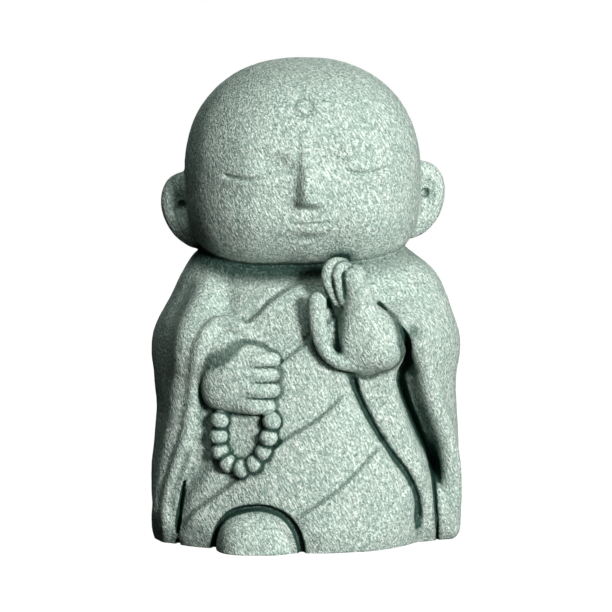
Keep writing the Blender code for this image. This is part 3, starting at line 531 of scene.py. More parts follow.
def limb(p, path, reach=0.06):
    """A round limb through the path's points (x, y, z, radius)."""
    path = spline(path, 4)
    ends, radii = path[:, :3], path[:, 3]

    def form(q):
        found = np.full(len(q), 9.0)
        for a, b, ra, rb in zip(ends, ends[1:], radii, radii[1:]):
            along = b - a
            t = np.clip((q - a) @ along / (along @ along), 0.0, 1.0)
            off = np.linalg.norm(q - a - t[:, None] * along, axis=1)
            found = np.minimum(found, off - ra - t * (rb - ra))
        return found

    widest = radii.max()
    return locally(form, p, ends.min(axis=0) - widest, ends.max(axis=0) + widest, reach)


def channel(p, path, squeeze):
    """A limb deeper from front to back than it is wide, to cut a channel with."""
    squeeze = np.array([1.0, squeeze, 1.0, 1.0])
    return limb(p * squeeze[:3], path * squeeze)


def lump(p, centre, radii, power=2.0, reach=0.06):
    """An ellipsoid that is worked out only near its box."""
    low, high = np.subtract(centre, radii), np.add(centre, radii)
    return locally(lambda q: ellipsoid(q, centre, radii, power), p, low, high, reach)


def stations(z, table):
    """Smooth values at the heights z from rows (height, value, ...)."""
    table = np.asarray(table)
    heights = table[:, 0]
    slopes = np.gradient(table[:, 1:], heights, axis=0)
    z = np.clip(z, heights[0], heights[-1])
    i = np.clip(np.searchsorted(heights, z) - 1, 0, len(heights) - 2)
    span = (heights[i + 1] - heights[i])[:, None]
    t = (z - heights[i])[:, None] / span
    a, b = table[i, 1:], table[i + 1, 1:]
    return (
        a * (1 + 2 * t) * (1 - t) ** 2
        + slopes[i] * span * t * (1 - t) ** 2
        + b * t * t * (3 - 2 * t)
        + slopes[i + 1] * span * t * t * (t - 1)
    )


def loft(p, table, squareness):
    """A closed form through the table's rows of reaches."""
    left, right, front_left, front_right, back = stations(p[:, 2], table).T
    side = smoothstep(-0.06, 0.06, p[:, 0])
    across = np.where(p[:, 0] < 0, left, right)
    depth = np.where(p[:, 1] < 0, front_left + (front_right - front_left) * side, back)
    n = squareness
    size = ((np.abs(p[:, 0]) / across) ** n + (np.abs(p[:, 1]) / depth) ** n) ** (1 / n)
    reach = np.hypot(p[:, 0], p[:, 1]) + 1e-6
    around = reach - reach / np.maximum(size, 1e-6)
    return np.maximum(around, np.maximum(table[0][0] - p[:, 2], p[:, 2] - table[-1][0]))


def bare_robe(p):
    """Trunk, mantle and arms, before any fold."""
    robe = unite(loft(p, TRUNK, TRUNK_SQUARENESS), loft(p, MANTLE, MANTLE_SQUARENESS), WAIST_BLEND)
    for arm in (RIGHT_FOREARM, LEFT_FOREARM):
        robe = unite(robe, limb(p, arm, 0.10), SLEEVE_BLEND)
    return robe


def seat(form, places, sink=0.0):
    """Points of the form's front at the places (x, z), sunk back by this much."""
    x, z = np.asarray(places, float)[:, :2].T
    inner = np.zeros(len(x))
    for y in np.linspace(0.0, -0.40, 81):
        inner = np.where(form(np.column_stack([x, np.full(len(x), y), z])) < 0, y, inner)
    outer = inner - 0.005
    for _ in range(12):
        y = (inner + outer) / 2
        inside = form(np.column_stack([x, y, z])) < 0
        inner = np.where(inside, y, inner)
        outer = np.where(inside, outer, y)
    return np.column_stack([x, inner + sink, z])


def on_front(form, places, sink, radius=None):
    """A limb's path over the form's front, with one radius or with that of each place."""
    places = np.asarray(places, float)
    radii = places[:, 2] if radius is None else np.full(len(places), radius)
    return np.column_stack([seat(form, places, sink), radii])


def along(p, path, profile, reach, back=False, fade=0.12):
    """The relief of a line drawn from the front: profile takes the distance to its right hand."""
    path = spline(path, 4)
    x, z = p[:, 0], p[:, 2]
    facing = p[:, 1] > -0.02 if back else p[:, 1] < 0.02
    low, high = path.min(axis=0) - reach, path.max(axis=0) + reach
    near = facing & (x > low[0]) & (x < high[0]) & (z > low[1]) & (z < high[1])
    relief = np.zeros(len(p))
    if not near.any():
        return relief
    q = np.column_stack([x[near], z[near]])
    nearest = np.full(len(q), 9.0)
    side = np.zeros(len(q))
    way = np.zeros(len(q))
    lengths = np.linalg.norm(np.diff(path, axis=0), axis=1)
    starts = np.concatenate([[0.0], np.cumsum(lengths)])
    for a, b, start, length in zip(path, path[1:], starts, lengths):
        d = (b - a) / length
        t = np.clip((q - a) @ d, 0.0, length)
        off = q - a - t[:, None] * d
        distance = np.hypot(off[:, 0], off[:, 1])
        closer = distance < nearest
        nearest = np.where(closer, distance, nearest)
        right = (q - a) @ np.array([d[1], -d[0]]) > 0
        side = np.where(closer, np.where(right, distance, -distance), side)
        way = np.where(closer, (start + t) / starts[-1], way)
    ends = smoothstep(0.0, fade, way) * smoothstep(1.0, 1.0 - fade, way)
    wrap = smoothstep(-0.02, 0.03, p[near, 1]) if back else smoothstep(0.02, -0.03, p[near, 1])
    relief[near] = profile(side) * ends * wrap * smoothstep(reach, 0.7 * reach, np.abs(side))
    return relief


def fold(rise, width, run):
    """A fold's edge: the cloth steps up on the right hand and sinks back over the run."""

    def profile(side):
        high = smoothstep(-width, width, side) * np.exp(-np.maximum(side, 0.0) / run)
        return rise * high - 0.5 * rise * np.exp(-(((side + width) / (1.6 * width)) ** 2))

    return profile


def groove(depth, width):
    return valley(depth, width, width)


def valley(depth, right_run, left_run):
    """A valley with its own run on each hand."""
    return lambda side: -depth * np.exp(-((side / np.where(side > 0, right_run, left_run)) ** 2))


def cloth(p):
    """How far the cloth's folds stand out of the bare robe."""
    relief = np.zeros(len(p))
    for path, *shape in FRONT_FOLDS:
        relief += along(p, path, fold(*shape), FOLD_REACH)
    for path, *shape in BACK_FOLDS:
        relief += along(p, path, fold(*shape), FOLD_REACH, back=True)
    for path, shape, fade in (
        (ROBE_EDGE, ROBE_EDGE_GROOVE, 0.06),
        (SHOULDER_CREASE, SHOULDER_CREASE_GROOVE, 0.3),
        (CHEST_HOLLOW, CHEST_HOLLOW_GROOVE, 0.3),
    ):
        relief += along(p, path, groove(*shape), 0.012 + 2.0 * shape[1], fade=fade)
    for path, shape in (
        (LEFT_SLEEVE_SLOPE, LEFT_SLEEVE_VALLEY),
        (RIGHT_SLEEVE_SLOPE, RIGHT_SLEEVE_VALLEY),
    ):
        relief += along(p, path, valley(*shape), 0.012 + 2.0 * shape[2], fade=0.25)
    return relief


def robe(p):
    return bare_robe(p) - cloth(p)


RIGHT_SWELL_LIMB = on_front(bare_robe, RIGHT_SWELL, 0.022)
RIGHT_HEM_LIMB = on_front(bare_robe, RIGHT_HEM, -0.004, 0.0155)
LEFT_HEM_LIMB = on_front(bare_robe, LEFT_HEM, 0.013, 0.0200)
LINING_LIMB = on_front(bare_robe, RIGHT_LINING, 0.002, 0.0080)
RIGHT_MOUTH_LIMB = on_front(robe, RIGHT_SLEEVE_MOUTH, 0.002)
LEFT_MOUTH_LIMB = on_front(robe, LEFT_SLEEVE_MOUTH, 0.004)
FOOT_ARCH_LIMB = on_front(robe, FOOT_ARCH, 0.003)


def hems(p, f):
    """The robe with the hems of its sleeves laid on."""
    f = unite(f, limb(p, RIGHT_SWELL_LIMB), 0.030)
    f = unite(f, limb(p, LEFT_HEM_LIMB), 0.020)
    f = unite(f, limb(p, RIGHT_HEM_LIMB), 0.010)
    return unite(f, limb(p, LINING_LIMB), 0.004)


def sleeves(p, f):
    """The robe with its hems and the mouths of its sleeves."""
    f = hems(p, f)
    f = cut(f, channel(p, LEFT_MOUTH_LIMB, 0.42), 0.004)
    return cut(f, channel(p, RIGHT_MOUTH_LIMB, 0.55), 0.005)


def foot(p, f):
    f = cut(f, channel(p, FOOT_ARCH_LIMB, 0.5), 0.006)
    return unite(f, lump(p, FOOT_CENTRE, FOOT_RADII, FOOT_SQUARENESS), 0.003)


def fingers():
    for z, radius, shift in zip(FINGER_Z, FINGER_RADII, FINGER_TIP_SHIFT):
        x = FINGERTIP_X + shift - radius
        yield (
            (KNUCKLE_X, KNUCKLE_Y + 0.008, z + 0.002, radius),
            ((KNUCKLE_X + x) / 2, KNUCKLE_Y - 0.006, z, radius),
            (x, KNUCKLE_Y + 0.004, z - 0.001, radius),
        )


BEAD_PLACES = seat(robe, BEADS, -0.007)


def beads(p):
    return np.min([lump(p, place, [BEAD_RADIUS] * 3) for place in BEAD_PLACES], axis=0)


def right_hand(p):
    hand = lump(p, RIGHT_HAND_BACK, RIGHT_HAND_RADII, 3.6)
    hand = unite(hand, lump(p, RIGHT_KNUCKLES, RIGHT_KNUCKLE_RADII, 2.6), 0.025)
    hand = unite(hand, limb(p, RIGHT_WRIST), 0.015)
    for finger in fingers():
        hand = unite(hand, limb(p, finger), 0.004)
    return hand


def left_hand(p):
    hand = unite(limb(p, PALM), lump(p, HAND_HEEL, HAND_HEEL_RADII, 2.6), 0.016)
    hand = unite(hand, lump(p, FINGER_WEB, FINGER_WEB_RADII), 0.010)
    hand = unite(hand, limb(p, HAND_BACKING), 0.020)
    hand = unite(hand, limb(p, PALM_EDGE), 0.014)
    hand = unite(hand, limb(p, THUMB), 0.009)
    hand = unite(hand, limb(p, LAST_FINGERS), 0.008)
    hand = unite(hand, limb(p, MIDDLE_FINGER), 0.005)
    return unite(hand, limb(p, FOREFINGER), 0.005)


def dressed(p):
    f = sleeves(p, robe(p))
    f = foot(p, f)
    f = unite(f, beads(p), 0.0015)
    f = unite(f, right_hand(p), 0.004)
    return unite(f, left_hand(p), 0.005)


def to_head(p, roll):
    """Points in the head's own frame: turned by its yaw and by this roll, from its centre."""
    x, y, z = (p - np.array(HEAD_CENTRE)).T
    x, y = (
        x * math.cos(HEAD_YAW) + y * math.sin(HEAD_YAW),
        -x * math.sin(HEAD_YAW) + y * math.cos(HEAD_YAW),
    )
    return np.column_stack(
        [
            x * math.cos(roll) + z * math.sin(roll),
            y,
            -x * math.sin(roll) + z * math.cos(roll),
        ]
    )


def skull(q):
    """The bare head, in its own frame: round above and wide at the jaw."""
    x, y, z = np.abs(q).T
    n = JAW_SQUARENESS + (CROWN_SQUARENESS - JAW_SQUARENESS) * smoothstep(-0.12, 0.08, q[:, 2])
    z = z / np.where(q[:, 2] > 0, HEAD_RISE, HEAD_DROP)
    y = y / np.where(q[:, 1] < 0, HEAD_FORWARD, HEAD_BACK)
    round_face = ((x / HEAD_HALF_WIDTH) ** n + z**n) ** (1 / n)
    size = (round_face**2.3 + y**2.3) ** (1 / 2.3)
    reach = np.linalg.norm(q, axis=1)
    return reach - reach / np.maximum(size, 1e-6)


def ears(q):
    q = np.column_stack([np.abs(q[:, 0]), q[:, 1:]])
    leaning = q - np.outer(q[:, 2] - EAR_CENTRE[2], (EAR_LEAN, 0.0, 0.0))
    ear = ellipsoid(leaning, EAR_CENTRE, EAR_RADII, EAR_SQUARENESS)
    ear = cut(ear, ellipsoid(q, EAR_DISH_CENTRE, EAR_DISH_RADII), 0.012)
    hole = np.linalg.norm(q - np.array(EAR_HOLE), axis=1) - EAR_HOLE_RADIUS
    return cut(ear, hole, 0.006)


def face(q):
    """How far the features stand out of the bare head, from their places seen from the front."""
    x, y, z = q.T
    side = np.abs(x)
    front = smoothstep(0.0, -0.08, y)
    relief = np.zeros(len(q))

    def mound(cx, cz, rx, rz, rise):
        return rise * np.exp(-(((side - cx) / rx) ** 2) - ((z - cz) / rz) ** 2)

    brow = EYE_Z + 0.050 - 3.5 * (side - 0.10) ** 2
    within = smoothstep(0.19, 0.12, side) * smoothstep(0.0, 0.03, side)
    relief += 0.006 * within * np.exp(-(((z - brow) / 0.020) ** 2))
    relief -= mound(0.060, EYE_Z + 0.012, 0.030, 0.026, 0.010)
    relief += mound(EYE_X, EYE_Z - 0.004, 0.058, 0.028, 0.008)
    lash = EYE_Z - 0.012 + 0.010 * ((side - EYE_X) / (EYE_WIDTH / 2)) ** 2
    within = smoothstep(1.15, 0.75, np.abs(side - EYE_X) / (EYE_WIDTH / 2))
    relief -= 0.0085 * within * np.exp(-(((z - lash) / LINE) ** 2))
    relief += mound(0.112, -0.098, 0.062, 0.060, 0.010)
    relief += mound(0.0, MOUTH_Z - 0.062, 0.036, 0.026, 0.009)

    down = smoothstep(EYE_Z + 0.055, NOSE_BASE_Z + 0.012, z)
    across = side / (0.011 + 0.009 * down)
    nose = (0.007 + 0.019 * down) * np.exp(-0.5 * across**4 - 0.35 * across**2)
    nose *= smoothstep(NOSE_BASE_Z - 0.005, NOSE_BASE_Z + 0.012, z)
    relief += nose * smoothstep(EYE_Z + 0.085, EYE_Z + 0.03, z)
    relief += mound(0.0, NOSE_BASE_Z + 0.015, 0.016, 0.015, 0.008)
    relief += mound(0.0220, NOSE_BASE_Z + 0.010, 0.010, 0.010, 0.008)

    relief += mound(0.0, MOUTH_Z, 0.046, 0.026, 0.010)
    bow = MOUTH_Z + 0.002 + 0.0035 * (side / (MOUTH_WIDTH / 2)) ** 2
    within = smoothstep(1.12, 0.85, side / (MOUTH_WIDTH / 2))
    relief -= 0.0065 * within * np.exp(-(((z - bow) / (0.8 * LINE)) ** 2))
    relief += mound(0.013, MOUTH_Z + 0.0105, 0.016, 0.0065, 0.0042)
    relief += mound(0.0, MOUTH_Z - 0.0105, 0.023, 0.0080, 0.0068)
    relief -= mound(0.0, MOUTH_Z - 0.0260, 0.024, 0.0065, 0.0045)
    relief -= mound(0.0, (NOSE_BASE_Z + MOUTH_Z) / 2 + 0.006, 0.0045, 0.011, 0.0028)
    ring = np.hypot(x, z - URNA_Z)
    relief -= 0.0045 * np.exp(-(((ring - URNA_RADIUS) / (0.8 * LINE)) ** 2))
    return relief * front


def head(p):
    q = to_head(p, FACE_ROLL)
    return unite(skull(to_head(p, HEAD_ROLL)) - face(q), ears(q), 0.008)


def figure(p):
    near_head = p[:, 2] > 0.50
    near_robe = p[:, 2] < 0.70
    f = np.full(len(p), 9.0)
    f[near_robe] = dressed(p[near_robe])
    crown = np.full(len(p), 9.0)
    crown[near_head] = head(p[near_head])
    return np.maximum(unite(f, crown, NECK_CREASE), -FOOTING - p[:, 2])


# Lines that hold the dark green wash and painted shade, as (x, z)
ROBE_EDGE_END = ((0.225, 0.100), (0.229, 0.070), (0.230, 0.020))
INSIDE_RIGHT_HEM = (
    (-0.244, 0.200), (-0.252, 0.170), (-0.262, 0.142), (-0.270, 0.116), (-0.275, 0.092)
)
INSIDE_LEFT_SLEEVE = (
    (0.214, 0.450),
    (0.222, 0.400),
    (0.212, 0.352),
    (0.220, 0.315),
    (0.234, 0.273),
    (0.252, 0.225),
    (0.266, 0.185),
    (0.273, 0.140),
)


def on_robe(places):
    return on_front(robe, places, 0.0, 0.0)


# Paths over the front, with the reach of the wash and painted shade to each side and its strength
LINES_OF_WASH_AND_SHADE = (
    (on_robe(ROBE_EDGE), 0.015, 1.0),
    (on_robe(ROBE_EDGE_END), 0.014, 0.30),
    (LEFT_MOUTH_LIMB[:5], 0.013, 0.80),
    (LEFT_MOUTH_LIMB[4:12], 0.026, 0.80),
    (LEFT_MOUTH_LIMB[11:], 0.014, 0.60),
    (on_robe(INSIDE_LEFT_SLEEVE[:3]), 0.022, 0.62),
    (on_robe(INSIDE_LEFT_SLEEVE[2:]), 0.044, 0.72),
    (RIGHT_MOUTH_LIMB, 0.014, 0.20),
    (on_front(lambda p: hems(p, robe(p)), INSIDE_RIGHT_HEM, 0.0, 0.0), 0.010, 0.50),
    (on_robe(RIGHT_SLEEVE_SLOPE), 0.026, 0.35),
    (FOOT_ARCH_LIMB, 0.013, 0.90),
    (on_robe(BELLY_FOLD), 0.010, 0.40),
    (on_robe(KNEE_FOLD), 0.009, 0.30),
    (on_robe(WRIST_FOLD), 0.010, 0.40),
    (on_robe(CHEST_FOLD), 0.010, 0.40),
)


def bead_bodies(p):
    return [lump(p, place, [BEAD_RADIUS] * 3) for place in BEAD_PLACES] + [sleeves(p, robe(p))]


def finger_bodies(p):
    return [limb(p, finger) for finger in fingers()]


def raised_finger_bodies(p):
    return [limb(p, finger) for finger in (FOREFINGER, MIDDLE_FINGER, LAST_FINGERS)]


def hand_bodies(p):
    return [np.minimum(right_hand(p), left_hand(p)), sleeves(p, robe(p))]


# Forms that meet in a seam, with the reach of the wash and painted shade from the seam and its
# strength
SEAMS = (
    (bead_bodies, 0.0085, 1.0),
    (finger_bodies, 0.0065, 1.0),
    (raised_finger_bodies, 0.0055, 0.85),
    (hand_bodies, 0.0090, 0.80),
)

# The share of the reach within which the wash and painted shade are at full strength
WASH_AND_SHADE_CORE = 0.4

# The wash and painted shade under the chin: its strength on the raised hand's side, what the other
# side, away from the key light, has more, the x between which that rises, and its reach and core;
# and the wash and painted shade in the forehead's ring
CHIN_WASH_AND_SHADE, CHIN_WASH_AND_SHADE_MORE = 0.35, 0.60
CHIN_WASH_AND_SHADE_SIDES = (0.14, 0.04)
CHIN_WASH_AND_SHADE_REACH = (0.062, 0.020)
RING_WASH_AND_SHADE = 0.30
RING_WASH_AND_SHADE_REACH = (0.007, 0.002)


def in_parts(form, p):
    """form(p), worked out in parts side by side."""
    parts = np.array_split(p, max(1, len(p) // AT_A_TIME))
    with ThreadPoolExecutor(WORKERS) as pool:
        return np.concatenate(list(pool.map(form, parts)))


def sampled(form, low, counts, step):
    """form's values on a grid. Only the blocks near the surface are worked out point by point."""
    block = 4
    blocks = [math.ceil(n / block) for n in counts]
    axes = [low[i] + step * (np.arange(blocks[i]) * block + (block - 1) / 2) for i in range(3)]
    centres = np.stack(np.meshgrid(*axes, indexing="ij"), axis=-1).reshape(-1, 3)
    coarse = in_parts(form, centres).reshape(blocks)
    values = coarse.repeat(block, 0).repeat(block, 1).repeat(block, 2)
    near = np.argwhere(np.abs(coarse) < 2.0 * block * step) * block
    corner = np.stack(np.meshgrid(*[np.arange(block)] * 3, indexing="ij"), axis=-1).reshape(-1, 3)
    spots = (near[:, None] + corner).reshape(-1, 3)
    values[tuple(spots.T)] = in_parts(form, np.array(low) + step * spots)
    return values[: counts[0], : counts[1], : counts[2]]


def untangle(values):
    """Joins the solid across each grid face where it only touches itself corner to corner."""
    for _ in range(12):
        found = 0
        for u, v in ((0, 1), (1, 2), (2, 0)):
            corner = []
            for du, dv in ((0, 0), (0, 1), (1, 0), (1, 1)):
                index = [slice(None)] * 3
                index[u] = slice(du, values.shape[u] - 1 + du)
                index[v] = slice(dv, values.shape[v] - 1 + dv)
                corner.append(values[tuple(index)] < 0)
            a, b, c, d = corner
            for one, shift in ((a & d & ~b & ~c, (0, 1)), (b & c & ~a & ~d, (0, 0))):
                spots = np.argwhere(one)
                first = spots.copy()
                first[:, u] += shift[0]
                first[:, v] += shift[1]
                second = spots.copy()
                second[:, u] += 1 - shift[0]
                second[:, v] += 1 - shift[1]
                lower = values[tuple(first.T)] < values[tuple(second.T)]
                nearer = np.where(lower[:, None], first, second)
                values[tuple(nearer.T)] = -1e-5
                found += len(spots)
        if not found:
            break


def skin(values, low, step):
    """Points and quads of the surface in the grid, with one point in each cell that it crosses."""
    counts = values.shape
    inside = values < 0
    total = np.zeros([n - 1 for n in counts] + [3])
    crossings = np.zeros([n - 1 for n in counts])
    for axis in range(3):
        u, v = (axis + 1) % 3, (axis + 2) % 3
        for du in (0, 1):
            for dv in (0, 1):
                ends = [[slice(0, -1)] * 3, [slice(0, -1)] * 3]
                ends[1][axis] = slice(1, None)
                for end in ends:
                    end[u] = slice(du, counts[u] - 1 + du)
                    end[v] = slice(dv, counts[v] - 1 + dv)
                a, b = values[tuple(ends[0])], values[tuple(ends[1])]
                crossed = (a < 0) != (b < 0)
                share = np.where(crossed, a / np.where(crossed, a - b, 1.0), 0.0)
                total[..., axis] += share
                total[..., u] += du * crossed
                total[..., v] += dv * crossed
                crossings += crossed
    cells = np.argwhere(crossings > 0)
    number = np.full(crossings.shape, -1)
    number[tuple(cells.T)] = np.arange(len(cells))
    places = total[tuple(cells.T)] / crossings[tuple(cells.T)][:, None]
    faces = []
    for axis in range(3):
        u, v = (axis + 1) % 3, (axis + 2) % 3
        first = [slice(1, -1)] * 3
        first[axis] = slice(0, -1)
        second = list(first)
        second[axis] = slice(1, None)
        a, b = inside[tuple(first)], inside[tuple(second)]
        edge = np.argwhere(a != b)
        outward = a[tuple(edge.T)]
        for k in (u, v):
            edge[:, k] += 1
        around = []
        for du, dv in ((-1, -1), (0, -1), (0, 0), (-1, 0)):
            cell = edge.copy()
            cell[:, u] += du
            cell[:, v] += dv
            around.append(number[tuple(cell.T)])
        quad = np.stack(around, axis=1)
        faces.append(np.where(outward[:, None], quad, quad[:, ::-1]))
    return np.array(low) + step * (cells + places), np.concatenate(faces)


def between(values, low, step):
    """A form that reads the grid, smoothly between its points."""
    top = np.array(values.shape) - 2

    def form(p):
        q = (p - np.array(low)) / step
        i = np.clip(np.floor(q).astype(int), 0, top)
        t = q - i
        found = np.zeros(len(p))
        for dx, dy, dz in np.ndindex(2, 2, 2):
            share = np.prod(np.where((dx, dy, dz), t, 1 - t), axis=1)
            found += share * values[i[:, 0] + dx, i[:, 1] + dy, i[:, 2] + dz]
        return found

    return form


def carved(p, quads, form, passes, step):
    """The points evened out and moved onto form's surface, pass by pass."""
    ends = np.concatenate([quads[:, [0, 1]], quads[:, [1, 2]], quads[:, [2, 3]], quads[:, [3, 0]]])
    count = np.bincount(ends[:, 0], minlength=len(p))[:, None]
    h = 0.3 * step
    for _ in range(passes):
        around = [np.bincount(ends[:, 0], p[ends[:, 1], axis], len(p)) for axis in range(3)]
        p = p + 0.5 * (np.stack(around, axis=1) / count - p)
        for _ in range(2):
            slope = [(form(p + offset) - form(p - offset)) / (2 * h) for offset in np.eye(3) * h]
            slope = np.column_stack(slope)
            length = np.maximum(np.linalg.norm(slope, axis=1), 0.3)
            move = np.clip(form(p) / length, -step, step)
            p = p - slope / length[:, None] * move[:, None]
    return p


def coordinates(mesh, layer="co", source=None):
    found = np.empty(len(mesh.vertices) * 3)
    (source or mesh.vertices).foreach_get(layer, found)
    return found.reshape(-1, 3)


def thinned(mesh, facets):
    """The mesh with about this many triangles."""
    thing = bpy.data.objects.new("rough", mesh)
    bpy.context.scene.collection.objects.link(thing)
    thinner = thing.modifiers.new("Thinner", "DECIMATE")
    thinner.ratio = facets / (2 * len(mesh.polygons))
    thinner.use_collapse_triangulate = True
    graph = bpy.context.evaluated_depsgraph_get()
    found = bpy.data.meshes.new_from_object(thing.evaluated_get(graph))
    bpy.data.objects.remove(thing)
    return found


def roughness_of(places, size, seed):
    """Smooth noise from -1 to 1 with features of this size, in metres, at the places."""
    shift = Vector((seed, -seed, 0.5 * seed))
    return np.array([noise.noise(Vector(p) / size + shift) for p in places])


def hidden_share(p, normals, reach):
    """How much of what is in this reach over each point the figure fills, from 0 to 1."""
    share = np.zeros(len(p))
    for part in (0.25, 0.5, 0.75, 1.0):
        h = reach * part
        clear = in_parts(figure, p + normals * h)
        share += np.clip(1 - clear / h, 0, 1) / 4
    return share


def wash_and_shade_at(p):
    """How thick the dark green wash and painted shade lie in the carved lines at each point, from 0
    to 1.
    """
    wash_and_shade = np.zeros(len(p))
    for path, width, strength in LINES_OF_WASH_AND_SHADE:
        path = np.column_stack([path[:, :3], np.zeros(len(path))])
        away = limb(p, path, width)
        wash_and_shade = np.maximum(wash_and_shade, strength * smoothstep(width, WASH_AND_SHADE_CORE * width, away))
    for bodies, width, strength in SEAMS:
        away = np.sort(np.abs(bodies(p)), axis=0)[1]
        wash_and_shade = np.maximum(wash_and_shade, strength * smoothstep(width, WASH_AND_SHADE_CORE * width, away))
    # Painted shade under the chin, with the wash, stronger on the side away from the key light
    from_neck = np.maximum(np.abs(head(p)), 2.0 * np.abs(dressed(p)))
    under_chin = CHIN_WASH_AND_SHADE + CHIN_WASH_AND_SHADE_MORE * smoothstep(*CHIN_WASH_AND_SHADE_SIDES, p[:, 0])
    wash_and_shade = np.maximum(wash_and_shade, under_chin * smoothstep(*CHIN_WASH_AND_SHADE_REACH, from_neck))
    # The wash and painted shade in the forehead's ring
    q = to_head(p, FACE_ROLL)
    from_ring = np.abs(np.hypot(q[:, 0], q[:, 2] - URNA_Z) - URNA_RADIUS)
    return np.maximum(wash_and_shade, RING_WASH_AND_SHADE * smoothstep(*RING_WASH_AND_SHADE_REACH, from_ring) * (q[:, 1] < 0))


def add_numbers(mesh, name, values):
    layer = mesh.attributes.new(name, "FLOAT", "POINT")
    layer.data.foreach_set("value", np.asarray(values, np.float32))


def cut_flat(mesh):
    """Gives the mesh its flat underside."""
    bm = bmesh.new()
    bm.from_mesh(mesh)
    cut_geometry = bmesh.ops.bisect_plane(
        bm,
        geom=[*bm.verts, *bm.edges, *bm.faces],
        dist=1e-7,
        plane_co=(0, 0, 0),
        plane_no=(0, 0, 1),
        clear_inner=True,
    )["geom_cut"]
    rim = [item for item in cut_geometry if isinstance(item, bmesh.types.BMEdge)]
    bmesh.ops.contextual_create(bm, geom=rim)
    bmesh.ops.triangulate(bm, faces=bm.faces)
    bmesh.ops.recalc_face_normals(bm, faces=bm.faces)
    bm.to_mesh(mesh)
    bm.free()


def carve_figure():
    """The fine piece. Its points carry how deep in a hollow they lie, and how thick the wash and
    painted shade are.
    """
    step = CARVING_GRAIN / HEIGHT
    low, high = np.array(BLOCK_LOW), np.array(BLOCK_HIGH)
    values = sampled(figure, low, [math.ceil(n) + 1 for n in (high - low) / step], step)
    untangle(values)
    p, quads = skin(values, low, step)
    p = carved(p, quads, between(values, low, step), EVENED, step)
    rough = bpy.data.meshes.new("rough")
    rough.from_pydata(p.tolist(), [], quads.tolist())
    mesh = thinned(rough, FACETS)
    p = coordinates(mesh)
    normals = coordinates(mesh, "vector", mesh.vertex_normals)
    add_numbers(mesh, "crevice", hidden_share(p, normals, CREVICE_REACH))
    add_numbers(mesh, "hollow", hidden_share(p, normals, HOLLOW_REACH))
    add_numbers(mesh, "wash_and_shade", wash_and_shade_at(p))
    places = p * HEIGHT
    out = sum(depth * roughness_of(places, size, seed) for depth, size, seed in WEATHER)
    places += normals * (out * smoothstep(0.0, UNDERSIDE_FADE, p[:, 2]))[:, None]
    mesh.vertices.foreach_set("co", places.ravel())
    cut_flat(mesh)
    mesh.name = "stone_figure"
    thing = bpy.data.objects.new("stone_figure", mesh)
    bpy.context.scene.collection.objects.link(thing)
    mesh.shade_smooth()
    return thing


class Value:
    """A socket of numbers, so that shader maths reads as maths."""

    def __init__(self, tree, socket):
        self.tree, self.socket = tree, socket

    def maths(self, operation, *others, clamp=False):
        made = self.tree.nodes.new("ShaderNodeMath")
        made.operation, made.use_clamp = operation, clamp
        for place, value in zip(made.inputs, (self, *others)):
            put(self.tree, place, value)
        return Value(self.tree, made.outputs[0])

    def __add__(self, other):
        return self.maths("ADD", other)

    def __mul__(self, other):
        return self.maths("MULTIPLY", other)

    def __sub__(self, other):
        return self.maths("SUBTRACT", other)

    def __rsub__(self, other):
        return (self * -1.0) + other

    __radd__ = __add__
    __rmul__ = __mul__

    def clamped(self):
        return self.maths("ADD", 0.0, clamp=True)


def put(tree, place, value):
    """Links a value to a socket, or sets it."""
    if isinstance(value, Value):
        tree.links.new(value.socket, place)
    else:
        place.default_value = value


def node(tree, kind, settings=None, **values):
    """A node with its settings and its sockets' values. A _ in a name stands for a space."""
    made = tree.nodes.new("ShaderNode" + kind)
    for name, value in (settings or {}).items():
        setattr(made, name, value)
    for name, value in values.items():
        put(tree, made.inputs[name.replace("_", " ")], value)
    return made


def ramp(tree, value, low, high, start=0.0, end=1.0, kind="SMOOTHSTEP"):
    made = node(tree, "MapRange", {"interpolation_type": kind}, Value=value)
    for name, number in (("From Min", low), ("From Max", high), ("To Min", start), ("To Max", end)):
        made.inputs[name].default_value = number
    return Value(tree, made.outputs["Result"])


def mixed(tree, share, a, b):
    """Two colours mixed."""
    made = node(tree, "Mix", {"data_type": "RGBA"})
    put(tree, made.inputs[0], share)
    put(tree, made.inputs[6], a)
    put(tree, made.inputs[7], b)
    return Value(tree, made.outputs[2])


